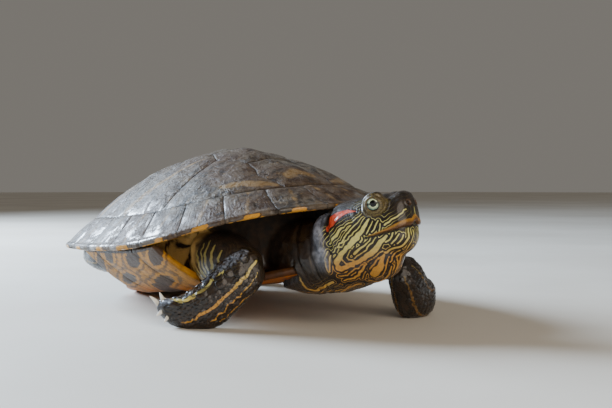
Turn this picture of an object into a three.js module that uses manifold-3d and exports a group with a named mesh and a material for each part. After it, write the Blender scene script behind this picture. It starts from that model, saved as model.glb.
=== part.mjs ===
// A red-eared slider turtle, standing with its front raised on its forelegs and the back of its
// bottom shell on the ground. The right hind leg and the tail are tucked in and the left hind foot
// is set down beside the shell. All the pieces are rigid.
// Lengths are in millimetres, +Z is up, the nose points along -Y and the animal's left is +X.
// Shapes are worked out in body axes: a runs forward, b to the animal's left, c up.
import * as THREE from "three";
import { mergeVertices } from "three/addons/utils/BufferGeometryUtils.js";
import Module from "manifold-3d";

const wasm = await Module();
wasm.setup();

// Driving dimensions.
const SHELL_LENGTH = 200;
const SHELL_WIDTH = 152;
const DOME_HEIGHT = 40.5; // the top of the carapace above the plane of its rim
const BELLY_DEPTH = 29.5; // the bottom of the plastron below that plane
const PLATE = 4; // thickness of the shell's plates
const SEAM = 0.4; // width of the gap between two plates
const CLEAR = 0.35; // gap between flesh and what it touches
const RIM_HEIGHT = 39.2; // the plane of the rim above the ground, at the middle of the shell
const NOSE_UP = THREE.MathUtils.degToRad(7);
const LEFT_UP = THREE.MathUtils.degToRad(2);
const HEAD_LEFT = THREE.MathUtils.degToRad(20);
const HEAD_UP = THREE.MathUtils.degToRad(13);
const SNOUT = [131, 16, 51]; // the tip of the upper beak, in body axes
const EYE = { back: 13.4, side: 8.8, up: 7.6, radius: 4 }; // from the tip of the beak
const LID_RADIUS = 5;
const CLAW_WIDTH = 2.8;
const ROUNDNESS = 2.3; // power of the rounded oval of the shell's plan and of the head's section

const COLOURS = {
  carapace: { color: 0x4d463c, roughness: 0.42 },
  plastron: { color: 0xb06a22, roughness: 0.5 },
  skin: { color: 0x2e2b22, roughness: 0.6 },
  eye: { color: 0x5f6f5a, roughness: 0.1 },
};

// ---- helpers -------------------------------------------------------------------------------

const body = (a, b, c) => new THREE.Vector3(b, -a, c);
const degrees = THREE.MathUtils.degToRad;
const clamp01 = (x) => Math.min(1, Math.max(0, x));
const signedPower = (x, p) => Math.sign(x) * Math.abs(x) ** p;

// A point at an angle round an oval of half width and half height 1, squarer as roundness grows.
const oval = (angle, roundness) => [
  signedPower(Math.cos(angle), 2 / roundness),
  signedPower(Math.sin(angle), 2 / roundness),
];

// A bell of height 1 round 0, that falls off over a width.
const bell = (x, width) => Math.exp(-((x / width) ** 2));

// A closed surface: point(around, along) with around from 0 to 2 pi and along from 0 to 1, where
// the surface shrinks to a point at both ends of along.
function closedSurface(nAround, nAlong, point) {
  const g = new THREE.SphereGeometry(1, nAround, nAlong);
  const uv = g.getAttribute("uv");
  const position = g.getAttribute("position");
  for (let i = 0; i < position.count; i++) {
    const along = clamp01(1 - uv.getY(i));
    const row = Math.round(along * nAlong);
    const column = Math.round(uv.getX(i) * nAround) % nAround;
    const pole = row === 0 || row === nAlong;
    const p = point(pole ? 0 : (2 * Math.PI * column) / nAround, row / nAlong);
    position.setXYZ(i, p.x, p.y, p.z);
  }
  return merged(g);
}

function merged(g) {
  g.deleteAttribute("normal");
  g.deleteAttribute("uv");
  return mergeVertices(g, 1e-4);
}

function solid(geometry, matrix) {
  const g = matrix ? geometry.clone().applyMatrix4(matrix) : geometry;
  const vertProperties = new Float32Array(g.getAttribute("position").array);
  const triVerts = new Uint32Array(g.index.array);
  const made = new wasm.Manifold(new wasm.Mesh({ numProp: 3, vertProperties, triVerts }));
  if (made.volume() > 0) return made;
  for (let i = 0; i < triVerts.length; i += 3) {
    [triVerts[i + 1], triVerts[i + 2]] = [triVerts[i + 2], triVerts[i + 1]];
  }
  return new wasm.Manifold(new wasm.Mesh({ numProp: 3, vertProperties, triVerts }));
}

// The largest body of a solid, so that a cut that leaves crumbs still gives one piece.
function largest(made) {
  return made.decompose().reduce((best, s) => (s.volume() > best.volume() ? s : best));
}

function geometryOf(made) {
  const m = made.getMesh();
  const v = new Float32Array(m.numVert * 3);
  for (let i = 0; i < m.numVert; i++) {
    v.set(m.vertProperties.subarray(i * m.numProp, i * m.numProp + 3), i * 3);
  }
  const g = new THREE.BufferGeometry();
  g.setAttribute("position", new THREE.BufferAttribute(v, 3));
  g.setIndex(new THREE.BufferAttribute(m.triVerts, 1));
  g.computeVertexNormals();
  return g;
}

const turtle = new THREE.Group();

function addNode(parent, name, geometry, finish) {
  const mesh = new THREE.Mesh(geometry, new THREE.MeshStandardMaterial(COLOURS[finish]));
  mesh.name = name;
  parent.add(mesh);
  return mesh;
}

// The ground's half space, cut away from whatever stands on it.
const GROUND_SPAN = 500;
const GROUND_DEPTH = 40;
const ground = solid(
  merged(
    new THREE.BoxGeometry(GROUND_SPAN, GROUND_SPAN, GROUND_DEPTH).translate(0, 0, -GROUND_DEPTH / 2),
  ),
);

// ---- shell ---------------------------------------------------------------------------------

const shell = new THREE.Group();
shell.position.set(0, 0, RIM_HEIGHT);
shell.rotation.set(-NOSE_UP, -LEFT_UP, 0);
turtle.add(shell);
shell.updateMatrix();
const shellPose = shell.matrix.clone();
const toShell = shellPose.clone().invert();

// The plan outline of the carapace at an angle from the front, counted towards the left side.
const FRONT_NARROWER = 0.06;
function rimPlan(angle) {
  const [c, s] = oval(angle, ROUNDNESS);
  return {
    a: (SHELL_LENGTH / 2) * c,
    b: (SHELL_WIDTH / 2) * s * (1 - FRONT_NARROWER * Math.cos(angle)),
  };
}

// The rim rises at the nape, dips along the front half of the bridge and is nearly level behind.
const DIP = { angle: degrees(74), width: degrees(28), depth: 5.5 };
const NAPE_RISE = 3;
const REAR_RISE = 1.5;
function rimLift(angle) {
  const c = Math.cos(angle);
  const ends = NAPE_RISE * Math.max(0, c) ** 3 + REAR_RISE * Math.max(0, -c);
  return ends - DIP.depth * bell(Math.acos(c) - DIP.angle, DIP.width);
}

// Share of the dome's height at a share of the way out: round on top, straighter to the rim,
// and fuller towards the rear.
const CROWN = 0.3;
const CROWN_SPAN = Math.hypot(1, CROWN) - CROWN;
const FULLNESS = 1.3;
const REAR_FULLNESS = 0.22;
function domeShare(angle, out) {
  const r = (Math.hypot(out, CROWN) - CROWN) / CROWN_SPAN;
  return 1 - r ** (FULLNESS + REAR_FULLNESS * Math.max(0, -Math.cos(angle)));
}

const APEX_FORWARD = 2;
function domePlan(angle, out) {
  const plan = rimPlan(angle);
  return { a: plan.a * out + APEX_FORWARD * (1 - out), b: plan.b * out };
}

const KEEL = { height: 1.2, half: 5 };
function domeHeight(angle, out) {
  const keel = KEEL.height * bell(domePlan(angle, out).b, KEEL.half) * (1 - out ** 2);
  return rimLift(angle) * out ** 3 + DOME_HEIGHT * domeShare(angle, out) + keel;
}

// The carapace as a layer: out to the rim over the dome, and back under the wedge of the
// marginal plates to the inner face. grow makes it thicker on its inner side.
const MARGINAL_IN = 0.8; // where the marginal plates end, as a share of the way to the rim
const RIM_EDGE = 2; // thickness of the edge below the rim's line
const WEDGE_RISE = 8; // how fast the under side of the wedge climbs inwards
const WEDGE_BLEND = 0.04;
const LAYER_MESH = { around: 34, along: 12 };
function carapaceLayer(grow) {
  return closedSurface(LAYER_MESH.around, LAYER_MESH.along, (angle, along) => {
    const over = along <= 0.5;
    const out = 2 * (over ? along : 1 - along);
    const plan = domePlan(angle, out);
    let c = domeHeight(angle, out);
    if (!over) {
      const under = c - (PLATE + grow);
      const wedge = clamp01((out - MARGINAL_IN + WEDGE_BLEND) / WEDGE_BLEND);
      const underRim = rimLift(angle) - RIM_EDGE - grow + (1 - out) * WEDGE_RISE;
      c = under + (Math.min(under, underRim) - under) * wedge;
    }
    return body(plan.a, plan.b, c);
  });
}

// A prism over a plan outline, given as [a, b] corners, moved out by grow on every side.
const BLANK_DEPTH = 160;
const NEARLY_STRAIGHT = 0.02; // sine of the bend at a corner that is only moved outwards
function plateBlank(corners, grow = -SEAM / 2) {
  const n = corners.length;
  const area = corners.reduce((sum, [a, b], i) => {
    const [a2, b2] = corners[(i + 1) % n];
    return sum + a * b2 - a2 * b;
  }, 0);
  const side = Math.sign(area);
  const edges = corners.map(([a, b], i) => {
    const [a2, b2] = corners[(i + 1) % n];
    const length = Math.hypot(a2 - a, b2 - b);
    const normal = [(-side * (b2 - b)) / length, (side * (a2 - a)) / length];
    return { normal, offset: normal[0] * a + normal[1] * b - grow };
  });
  const inner = edges.map((e, i) => {
    const f = edges[(i + n - 1) % n];
    const det = f.normal[0] * e.normal[1] - f.normal[1] * e.normal[0];
    if (Math.abs(det) < NEARLY_STRAIGHT) {
      return [corners[i][0] - e.normal[0] * grow, corners[i][1] - e.normal[1] * grow];
    }
    return [
      (f.offset * e.normal[1] - e.offset * f.normal[1]) / det,
      (f.normal[0] * e.offset - e.normal[0] * f.offset) / det,
    ];
  });
  const shape = new THREE.Shape(inner.map(([a, b]) => new THREE.Vector2(b, -a)));
  const g = new THREE.ExtrudeGeometry(shape, { depth: BLANK_DEPTH, bevelEnabled: false });
  return solid(merged(g.translate(0, 0, -BLANK_DEPTH / 2)));
}

const layer = solid(carapaceLayer(0));
function addCarapacePlate(name, corners) {
  const plate = largest(layer.intersect(plateBlank(corners)));
  addNode(shell, name, geometryOf(plate), "carapace");
}

// Angle of the rim at a length along it from the front, by small steps.
const RIM_STEPS = 720;
const rimLengths = [0];
for (let i = 1; i <= RIM_STEPS; i++) {
  const p = rimPlan((Math.PI * (i - 1)) / RIM_STEPS);
  const q = rimPlan((Math.PI * i) / RIM_STEPS);
  rimLengths.push(rimLengths[i - 1] + Math.hypot(q.a - p.a, q.b - p.b));
}
const HALF_RIM = rimLengths[RIM_STEPS];
function rimAngle(length) {
  const i = rimLengths.findIndex((x) => x >= length);
  return (Math.PI * Math.max(0, i)) / RIM_STEPS;
}

const NAPE_HALF = 6; // half the width of the nuchal plate at the rim
const MARGINALS = 12; // on each side
const marginalLength = (HALF_RIM - NAPE_HALF) / MARGINALS;
const seamAngle = (k) => rimAngle(NAPE_HALF + k * marginalLength);

// Plan point at a share of the way out to the rim, on one side: side is 1 for left, -1 for right.
function planPoint(side, angle, out) {
  const p = domePlan(side * angle, out);
  return [p.a, p.b];
}

const BEYOND = 1.08; // how far out the blanks of the rim's plates reach, past the rim
for (const [word, side] of [["left", 1], ["right", -1]]) {
  for (let k = 0; k < MARGINALS; k++) {
    const from = seamAngle(k);
    const to = k === MARGINALS - 1 ? Math.PI : seamAngle(k + 1);
    const middle = (from + to) / 2;
    addCarapacePlate(`marginal_${word}_${k + 1}`, [
      planPoint(side, from, MARGINAL_IN),
      planPoint(side, middle, MARGINAL_IN),
      planPoint(side, to, MARGINAL_IN),
      planPoint(side, to, BEYOND),
      planPoint(side, middle, BEYOND * 1.01),
      planPoint(side, from, BEYOND),
    ]);
  }
}
addCarapacePlate("nuchal", [
  planPoint(1, seamAngle(0), MARGINAL_IN),
  planPoint(1, seamAngle(0), BEYOND),
  planPoint(-1, seamAngle(0), BEYOND),
  planPoint(-1, seamAngle(0), MARGINAL_IN),
]);

// The five vertebral plates run down the middle. Each is widest where a costal seam meets it.
const VERTEBRAL_SEAMS = [48, 14, -22, -55]; // between one plate and the next
const VERTEBRAL_HALF = [12.5, 13, 13, 12];
const VERTEBRAL_BULGE = [17, 20, 20.5, 19, 16];
const VERTEBRAL_MIDDLE = [63, 31, -4, -39, -67];
const END_ANGLES = [degrees(11), degrees(169)];

// Where the seam in front of vertebral plate i ends on one side; i of 5 is behind the last.
function vertebralCorner(i, side) {
  if (i === 0) return planPoint(side, END_ANGLES[0], MARGINAL_IN);
  if (i === 5) return planPoint(side, END_ANGLES[1], MARGINAL_IN);
  return [VERTEBRAL_SEAMS[i - 1], side * VERTEBRAL_HALF[i - 1]];
}
const vertebralBulge = (i, side) => [VERTEBRAL_MIDDLE[i], side * VERTEBRAL_BULGE[i]];

for (let i = 0; i < 5; i++) {
  const front = i === 0 ? [planPoint(1, 0, MARGINAL_IN)] : [];
  const back = i === 4 ? [planPoint(1, Math.PI, MARGINAL_IN)] : [];
  addCarapacePlate(`vertebral_${i + 1}`, [
    vertebralCorner(i, 1),
    vertebralBulge(i, 1),
    vertebralCorner(i + 1, 1),
    ...back,
    vertebralCorner(i + 1, -1),
    vertebralBulge(i, -1),
    vertebralCorner(i, -1),
    ...front,
  ]);
}

// Four costal plates on each side, between the vertebral and the marginal plates.
const COSTAL_SEAMS = [66, 98, 130].map((x) => degrees(x));
const COSTAL_ENDS = [END_ANGLES[0], ...COSTAL_SEAMS, END_ANGLES[1]];
const COSTAL_STEPS = 5;
for (const [word, side] of [["left", 1], ["right", -1]]) {
  for (let i = 0; i < 4; i++) {
    const inner = [vertebralBulge(i, side), vertebralCorner(i + 1, side), vertebralBulge(i + 1, side)];
    const [from, to] = [COSTAL_ENDS[i], COSTAL_ENDS[i + 1]];
    const outer = Array.from({ length: COSTAL_STEPS + 1 }, (_, k) =>
      planPoint(side, to + ((from - to) * k) / COSTAL_STEPS, MARGINAL_IN),
    );
    addCarapacePlate(`costal_${word}_${i + 1}`, [...inner, ...outer]);
  }
}

// ---- plastron ------------------------------------------------------------------------------

// Height of the plastron's under face: flat, turned up at the sides into the bridge and a
// little at the front.
const FLAT_HALF = 34;
const BRIDGE_HALF = 67;
const BRIDGE_CURVE = 1.6;
const FRONT_TURN = { from: 55, over: 33, rise: 3.5 };
const REAR_TURN = { from: -30, over: 25, inner: 16, width: 20, rise: 4.5, curve: 1.5 };
function bellyHeight(a, b) {
  const across = Math.abs(b);
  const side = Math.max(0, across - FLAT_HALF) / (BRIDGE_HALF - FLAT_HALF);
  const front = Math.max(0, a - FRONT_TURN.from) / FRONT_TURN.over;
  const rearShare = clamp01((REAR_TURN.from - a) / REAR_TURN.over);
  const rear = (rearShare * Math.max(0, across - REAR_TURN.inner)) / REAR_TURN.width;
  const rimAbove = rimLift(Math.acos(signedPower(a / (SHELL_LENGTH / 2 + 1), ROUNDNESS / 2)));
  const toRim = BELLY_DEPTH - PLATE + rimAbove;
  const turned = FRONT_TURN.rise * front ** 2 + REAR_TURN.rise * rear ** REAR_TURN.curve;
  return -BELLY_DEPTH + toRim * side ** BRIDGE_CURVE + turned;
}

const SLAB = { width: 2 * BRIDGE_HALF + 6, length: 184, across: 14, along: 12 };
function bellySlab(grow) {
  const g = new THREE.BoxGeometry(
    SLAB.width, SLAB.length, PLATE + 2 * grow, SLAB.across, SLAB.along, 1,
  );
  const p = g.getAttribute("position");
  for (let i = 0; i < p.count; i++) {
    p.setZ(i, p.getZ(i) + PLATE / 2 + bellyHeight(-p.getY(i), p.getX(i)));
  }
  return solid(merged(g));
}

const FRONT_LOBE = { middle: 28, reach: 62, half: 46 };
const BACK_LOBE = { middle: -26, reach: 64, half: 39 };
const BRIDGE_FRONT = 49;
const BRIDGE_BACK = -34;
function plastronHalf(a) {
  if (a <= BRIDGE_FRONT && a >= BRIDGE_BACK) return BRIDGE_HALF;
  const lobe = a > 0 ? FRONT_LOBE : BACK_LOBE;
  const t = clamp01(Math.abs(a - lobe.middle) / lobe.reach);
  return lobe.half * Math.sqrt(1 - t ** ROUNDNESS);
}

// The plan outline of one half of the plastron between two cross seams, from the middle line.
function halfOutline(side, front, back, steps) {
  const stops = Array.from({ length: steps + 1 }, (_, k) => front + ((back - front) * k) / steps);
  for (const end of [BRIDGE_FRONT, BRIDGE_BACK]) {
    if (end < front && end > back) stops.push(end + 1, end);
  }
  stops.sort((x, y) => y - x);
  const apart = stops.filter((a, i) => i === 0 || stops[i - 1] - a > SEAM);
  const edge = apart.map((a) => [a, side * plastronHalf(a)]);
  return [[front, 0], ...edge, [back, 0]];
}

const PLASTRON_SEAMS = [88, 72, 50, 27, -17, -50, -85];
const PLASTRON_NAMES = ["gular", "humeral", "pectoral", "abdominal", "femoral", "anal"];
const LOBE_STEPS = 4; // straight lengths along the edge of each plate
const slab = bellySlab(0).subtract(solid(carapaceLayer(CLEAR)));
const groundInShell = ground.transform(Array.from(toShell.elements));
const grownBlanks = [];
for (const [word, side] of [["left", 1], ["right", -1]]) {
  for (let i = 0; i < PLASTRON_NAMES.length; i++) {
    const outline = halfOutline(side, PLASTRON_SEAMS[i], PLASTRON_SEAMS[i + 1], LOBE_STEPS);
    const plate = largest(slab.intersect(plateBlank(outline)).subtract(groundInShell));
    addNode(shell, `${PLASTRON_NAMES[i]}_${word}`, geometryOf(plate), "plastron");
    grownBlanks.push(plateBlank(outline, 2 * CLEAR));
  }
}
const plastronGrown = grownBlanks.reduce((x, y) => x.add(y)).intersect(bellySlab(CLEAR));

// ---- flesh ---------------------------------------------------------------------------------

// The shell's plates, a little grown, in the turtle's own frame: flesh is cut back from them.
const shellGrown = solid(carapaceLayer(CLEAR))
  .add(plastronGrown)
  .transform(Array.from(shellPose.elements));

// The trunk fills the shell, a little clear of its plates, out to a share of the way to the rim.
const TRUNK_OUT = 0.72;
const TRUNK_CLEAR = 2.4;
const TRUNK_FACE = 0.42; // share of the surface's length spent on each of its two faces
const TRUNK_MESH = { around: 15, along: 9 };
function trunkSurface(grow) {
  return closedSurface(TRUNK_MESH.around, TRUNK_MESH.along, (angle, along) => {
    const over = along <= 0.5;
    const inwards = Math.min(along, 1 - along);
    const out = TRUNK_OUT * Math.min(1, inwards / TRUNK_FACE);
    const wall = clamp01((inwards - TRUNK_FACE) / (0.5 - TRUNK_FACE));
    const plan = domePlan(angle, out + grow / (SHELL_WIDTH / 2));
    const top = domeHeight(angle, out) - PLATE - TRUNK_CLEAR + grow;
    const bottom = bellyHeight(plan.a, plan.b) + PLATE + TRUNK_CLEAR - grow;
    const middle = (top + bottom) / 2;
    const c = over ? top : bottom;
    return body(plan.a, plan.b, c + (middle - c) * wall);
  });
}
const trunkGrown = solid(trunkSurface(CLEAR), shellPose);
const trunk = largest(solid(trunkSurface(0), shellPose).subtract(shellGrown));
addNode(turtle, "trunk", geometryOf(trunk), "skin");

// The place on a line at a share of its length, with the level and the upper direction across it.
function across(line, t) {
  const forward = line.getTangent(t);
  const side = new THREE.Vector3().crossVectors(forward, new THREE.Vector3(0, 0, 1)).normalize();
  const over = new THREE.Vector3().crossVectors(side, forward).normalize();
  return { p: line.getPoint(t), side, over };
}

const LIMB_END = 0.14; // share of a limb's length over which its end is rounded off

// A limb, neck or tail: stations along its length, each a place, a half width across and half
// heights above and below, joined by smooth curves and rounded off at both ends.
function limbSurface(stations, { around = 20, along = 30, roundness = 2.2, grow = 0 } = {}) {
  const line = new THREE.CatmullRomCurve3(stations.map((s) => body(...s.at)), false, "centripetal");
  const sizes = ["wide", "up", "down"].map((key) => {
    const points = stations.map((s, i) => new THREE.Vector2(i, s[key] ?? s.up));
    return new THREE.SplineCurve(points);
  });
  return closedSurface(around, along, (angle, t) => {
    const { p, side, over } = across(line, t);
    const [wide, high, low] = sizes.map((s) => s.getPoint(t).y + grow);
    const end = Math.min(1, Math.min(t, 1 - t) / LIMB_END);
    const cap = Math.sqrt(1 - (1 - end) ** 2);
    const [c, s] = oval(angle, roundness);
    p.addScaledVector(side, wide * cap * c);
    return p.addScaledVector(over, (s > 0 ? high : low) * cap * s);
  });
}

// The head's own axes: forward to the snout, left, and up, in body axes turned by the pose.
const headFrame = new THREE.Matrix4()
  .makeTranslation(body(...SNOUT))
  .multiply(new THREE.Matrix4().makeRotationZ(HEAD_LEFT))
  .multiply(new THREE.Matrix4().makeRotationX(-HEAD_UP));
const inHead = (back, side, up) => body(-back, side, up).applyMatrix4(headFrame);

// Half width, top and bottom of the head at a distance behind the snout's tip.
const HEAD_STATIONS = [
  { back: 0, wide: 5.2, top: 8.4, bottom: -3 },
  { back: 2, wide: 7.4, top: 10.4, bottom: -10.4 },
  { back: 6, wide: 9.6, top: 11.2, bottom: -15 },
  { back: 13, wide: 11.8, top: 11.4, bottom: -16.6 },
  { back: 21, wide: 14, top: 12.2, bottom: -17.4 },
  { back: 30, wide: 15.8, top: 12.2, bottom: -18.4 },
  { back: 40, wide: 16, top: 11, bottom: -19 },
];
const HEAD_LENGTH = 38;
const headSizes = ["wide", "top", "bottom"].map(
  (key) => new THREE.SplineCurve(HEAD_STATIONS.map((s) => new THREE.Vector2(s.back, s[key]))),
);
function headSize(which, back) {
  let [low, high] = [0, 1];
  for (let i = 0; i < 24; i++) {
    const t = (low + high) / 2;
    if (headSizes[which].getPoint(t).x < back) low = t;
    else high = t;
  }
  return headSizes[which].getPoint(low).y;
}

const HEAD_MESH = { around: 14, along: 13 };
const NOSE_SHARE = 0.24; // share of the surface's length that rounds off the snout
const NAPE_SHARE = 0.06;
function headSurface(grow) {
  return closedSurface(HEAD_MESH.around, HEAD_MESH.along, (angle, along) => {
    const back = HEAD_LENGTH * along ** 1.5; // rows lie closer together at the snout
    const nose = (1 - clamp01(1 - along / NOSE_SHARE) ** ROUNDNESS) ** (1 / ROUNDNESS);
    const nape = Math.sqrt(clamp01((1 - along) / NAPE_SHARE));
    const [wide, top, bottom] = [0, 1, 2].map((k) => headSize(k, back));
    const half = (top - bottom) / 2 + grow;
    const [c, s] = oval(angle, ROUNDNESS);
    return inHead(back, (wide + grow) * nose * nape * c, (top + bottom) / 2 + half * nose * nape * s);
  });
}

function eyeBall(side, grow) {
  const g = merged(new THREE.SphereGeometry(EYE.radius + grow, 10, 7));
  const place = inHead(EYE.back, side * EYE.side, EYE.up);
  return solid(g, new THREE.Matrix4().makeTranslation(place));
}

// The rounded rise of the lids over an eye, and the slit between them.
function inHeadEllipsoid(at, radii) {
  const g = merged(new THREE.SphereGeometry(1, 9, 6).scale(radii[1], radii[0], radii[2]));
  const place = new THREE.Matrix4().makeTranslation(body(-at[0], at[1], at[2]));
  return solid(g, headFrame.clone().multiply(place));
}

const LIDS = { inwards: 0.4, lower: 0.2, longer: 0.6 }; // against the eyeball's own middle
const SLIT = { outwards: 4, radii: [3.9, 3.6, 2.7] };
const headGrown = solid(headSurface(CLEAR));
let head = solid(headSurface(0));
for (const side of [1, -1]) {
  const lids = inHeadEllipsoid(
    [EYE.back, side * (EYE.side - LIDS.inwards), EYE.up - LIDS.lower],
    [LID_RADIUS + LIDS.longer, LID_RADIUS, LID_RADIUS],
  );
  head = head.add(lids);
}
for (const side of [1, -1]) {
  const slit = inHeadEllipsoid([EYE.back, side * (EYE.side + SLIT.outwards), EYE.up], SLIT.radii);
  head = head.subtract(eyeBall(side, CLEAR)).subtract(slit);
}
addNode(turtle, "head", geometryOf(largest(head.subtract(shellGrown))), "skin");
for (const [word, side] of [["left", 1], ["right", -1]]) {
  addNode(turtle, `eye_${word}`, geometryOf(eyeBall(side, 0)), "eye");
}

const NECK = [
  { at: [52, 2, 33], wide: 21, up: 15, down: 17 },
  { at: [66, 1, 31], wide: 20.5, up: 16, down: 17 },
  { at: [82, 0, 29.5], wide: 19, up: 18, down: 16.5 },
  { at: [96, 4, 32], wide: 17, up: 15, down: 17 },
  { at: [108, 8, 34], wide: 13, up: 12, down: 15 },
  { at: [119, 11, 36], wide: 10, up: 8, down: 13 },
  { at: [127, 14, 37], wide: 5.5, up: 5, down: 8 },
];
// The roll of loose skin round the neck, just behind the skull.
const ROLL = { at: [40, 0, -3.6], radii: [7.5, 17.4, 13.4] };
const neckOptions = { around: 12, along: 9, roundness: 2.1 };
const neckGrown = solid(limbSurface(NECK, { ...neckOptions, grow: CLEAR })).add(
  inHeadEllipsoid(ROLL.at, ROLL.radii.map((radius) => radius + CLEAR)),
);
const neck = solid(limbSurface(NECK, neckOptions))
  .add(inHeadEllipsoid(ROLL.at, ROLL.radii))
  .subtract(headGrown)
  .subtract(trunkGrown)
  .subtract(shellGrown);
addNode(turtle, "neck", geometryOf(largest(neck)), "skin");

// A claw curves from its root on a toe to a fine tip. Its root is inside the foot.
const CLAW_BEND = { at: 0.55, rise: 0.12 }; // where and how far it arches, as shares of its length
const CLAW_TAPER = 0.6;
const CLAW_ROOT = 0.1; // share of the length over which the root is rounded off
function claw(root, tip) {
  const from = body(...root);
  const to = body(...tip);
  const middle = from.clone().lerp(to, CLAW_BEND.at);
  middle.z += CLAW_BEND.rise * from.distanceTo(to);
  const line = new THREE.QuadraticBezierCurve3(from, middle, to);
  return solid(
    closedSurface(4, 4, (angle, t) => {
      const { p, side, over } = across(line, t);
      const half = (CLAW_WIDTH / 2) * (1 - t) ** CLAW_TAPER * Math.min(1, t / CLAW_ROOT);
      p.addScaledVector(side, half * Math.cos(angle));
      return p.addScaledVector(over, half * Math.sin(angle));
    }),
  );
}

// A leg of one or more lengths, joined with its claws, cut back from what it meets and flat
// where it stands on the ground.
const legOptions = { around: 10, along: 7, roundness: 2.2 };
function addLeg(name, lengths, claws) {
  let leg = lengths.map((s) => solid(limbSurface(s, legOptions))).reduce((x, y) => x.add(y));
  for (const [root, tip] of claws) {
    leg = leg.add(claw(root, tip));
  }
  leg = leg.subtract(trunkGrown).subtract(shellGrown).subtract(neckGrown).subtract(ground);
  addNode(turtle, name, geometryOf(largest(leg)), "skin");
}

addLeg(
  "foreleg_right",
  [
    [
      { at: [42, -36, 30], wide: 12, up: 12 },
      { at: [60, -36, 29], wide: 12, up: 12.5 },
      { at: [73, -34, 27], wide: 9.5, up: 10 },
      { at: [82, -33, 25], wide: 6.5, up: 7 },
    ],
    [
      { at: [82, -29, 28], wide: 5.5, up: 7 },
      { at: [75, -38, 21], wide: 6.5, up: 9.8 },
      { at: [67, -50, 12.5], wide: 5.5, up: 7.2, down: 13.4 },
      { at: [60, -58, 10], wide: 4.4, up: 3.8, down: 11 },
      { at: [51.5, -66, 9], wide: 3, up: 3.4, down: 5.5 },
    ],
  ],
  [
    [[56, -59.5, 9], [50.5, -62, 12.4]],
    [[54.8, -63, 9], [53.9, -65.3, 15.5]],
    [[54, -64, 8], [51, -68.7, 13.8]],
    [[55, -63.2, 7.6], [56, -67.8, 5.4]],
    [[57, -61.8, 5.6], [60, -66, 2.8]],
  ],
);
addLeg(
  "foreleg_left",
  [
    [
      { at: [44, 36, 31], wide: 12, up: 12 },
      { at: [64, 37, 30], wide: 12, up: 12 },
      { at: [84, 38, 27], wide: 9.5, up: 10 },
      { at: [95, 38, 25], wide: 6.5, up: 7 },
    ],
    [
      { at: [99, 34, 27], wide: 5.5, up: 7 },
      { at: [96, 41, 19], wide: 7.5, up: 10 },
      { at: [92.5, 49, 12], wide: 8, up: 9.5, down: 14 },
      { at: [90, 57, 11], wide: 7, up: 7, down: 12 },
      { at: [87, 63, 12], wide: 4, up: 3.8, down: 5.5 },
    ],
  ],
  [
    [[88, 59, 14], [81.5, 64, 18.5]],
    [[87.5, 60, 12.5], [79.5, 66.5, 15.8]],
    [[87, 61, 11], [78.6, 68.2, 12]],
    [[87.5, 60.5, 9], [79.6, 67.6, 7.6]],
    [[88.5, 58.5, 6], [82.6, 64.6, 3.4]],
  ],
);
addLeg(
  "hindleg_right",
  [
    [
      { at: [-36, -40, 24], wide: 12, up: 11 },
      { at: [-52, -47, 25], wide: 11, up: 9 },
      { at: [-66, -46, 24], wide: 9, up: 8 },
    ],
    [
      { at: [-60, -48, 24], wide: 8, up: 7 },
      { at: [-72, -38, 19], wide: 8, up: 6 },
      { at: [-80, -27, 14], wide: 7, up: 4 },
    ],
  ],
  [
    [[-79, -27, 14], [-83.4, -19, 12.4]],
    [[-80, -29, 14], [-87.2, -22.6, 12.4]],
    [[-80, -31, 14], [-88.6, -27.6, 12.4]],
    [[-79, -33, 14.6], [-87.8, -32.4, 13]],
  ],
);
addLeg(
  "hindleg_left",
  [
    [
      { at: [-36, 40, 24], wide: 12, up: 11 },
      { at: [-52, 50, 21], wide: 11, up: 9 },
      { at: [-66, 56, 14], wide: 9, up: 7 },
    ],
    [
      { at: [-60, 54, 16], wide: 8, up: 7 },
      { at: [-74, 58, 7], wide: 8, up: 5.5, down: 8 },
      { at: [-92, 61, 4], wide: 8.5, up: 3, down: 5 },
    ],
  ],
  [
    [[-88, 56, 3.2], [-96.4, 53.4, 1.2]],
    [[-88, 59, 3.4], [-98.6, 58.2, 1.2]],
    [[-88, 63, 3.4], [-98.6, 63.8, 1.2]],
    [[-87, 66, 3.2], [-95.4, 69, 1.2]],
  ],
);

const TAIL = [
  { at: [-60, 0, 22], wide: 9, up: 7 },
  { at: [-76, 1, 20], wide: 6.5, up: 5 },
  { at: [-90, 6, 14], wide: 4.4, up: 3.6 },
  { at: [-99, 14, 9], wide: 2.6, up: 2.2 },
  { at: [-103, 23, 6], wide: 1, up: 1 },
];
const tail = solid(limbSurface(TAIL, { around: 8, along: 10 }))
  .subtract(trunkGrown)
  .subtract(shellGrown)
  .subtract(ground);
addNode(turtle, "tail", geometryOf(largest(tail)), "skin");

// The origin is on the ground, under the middle of the whole animal.
const reach = new THREE.Box3().setFromObject(turtle, true);
const middle = reach.getCenter(new THREE.Vector3());
turtle.position.set(-middle.x, -middle.y, 0);

export default turtle;
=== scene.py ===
"""A red-eared slider turtle, life size: a shell of fifty plates, one striped skin, scales, claws
and eyes, each built as mesh round the frame of the part."""

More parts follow.
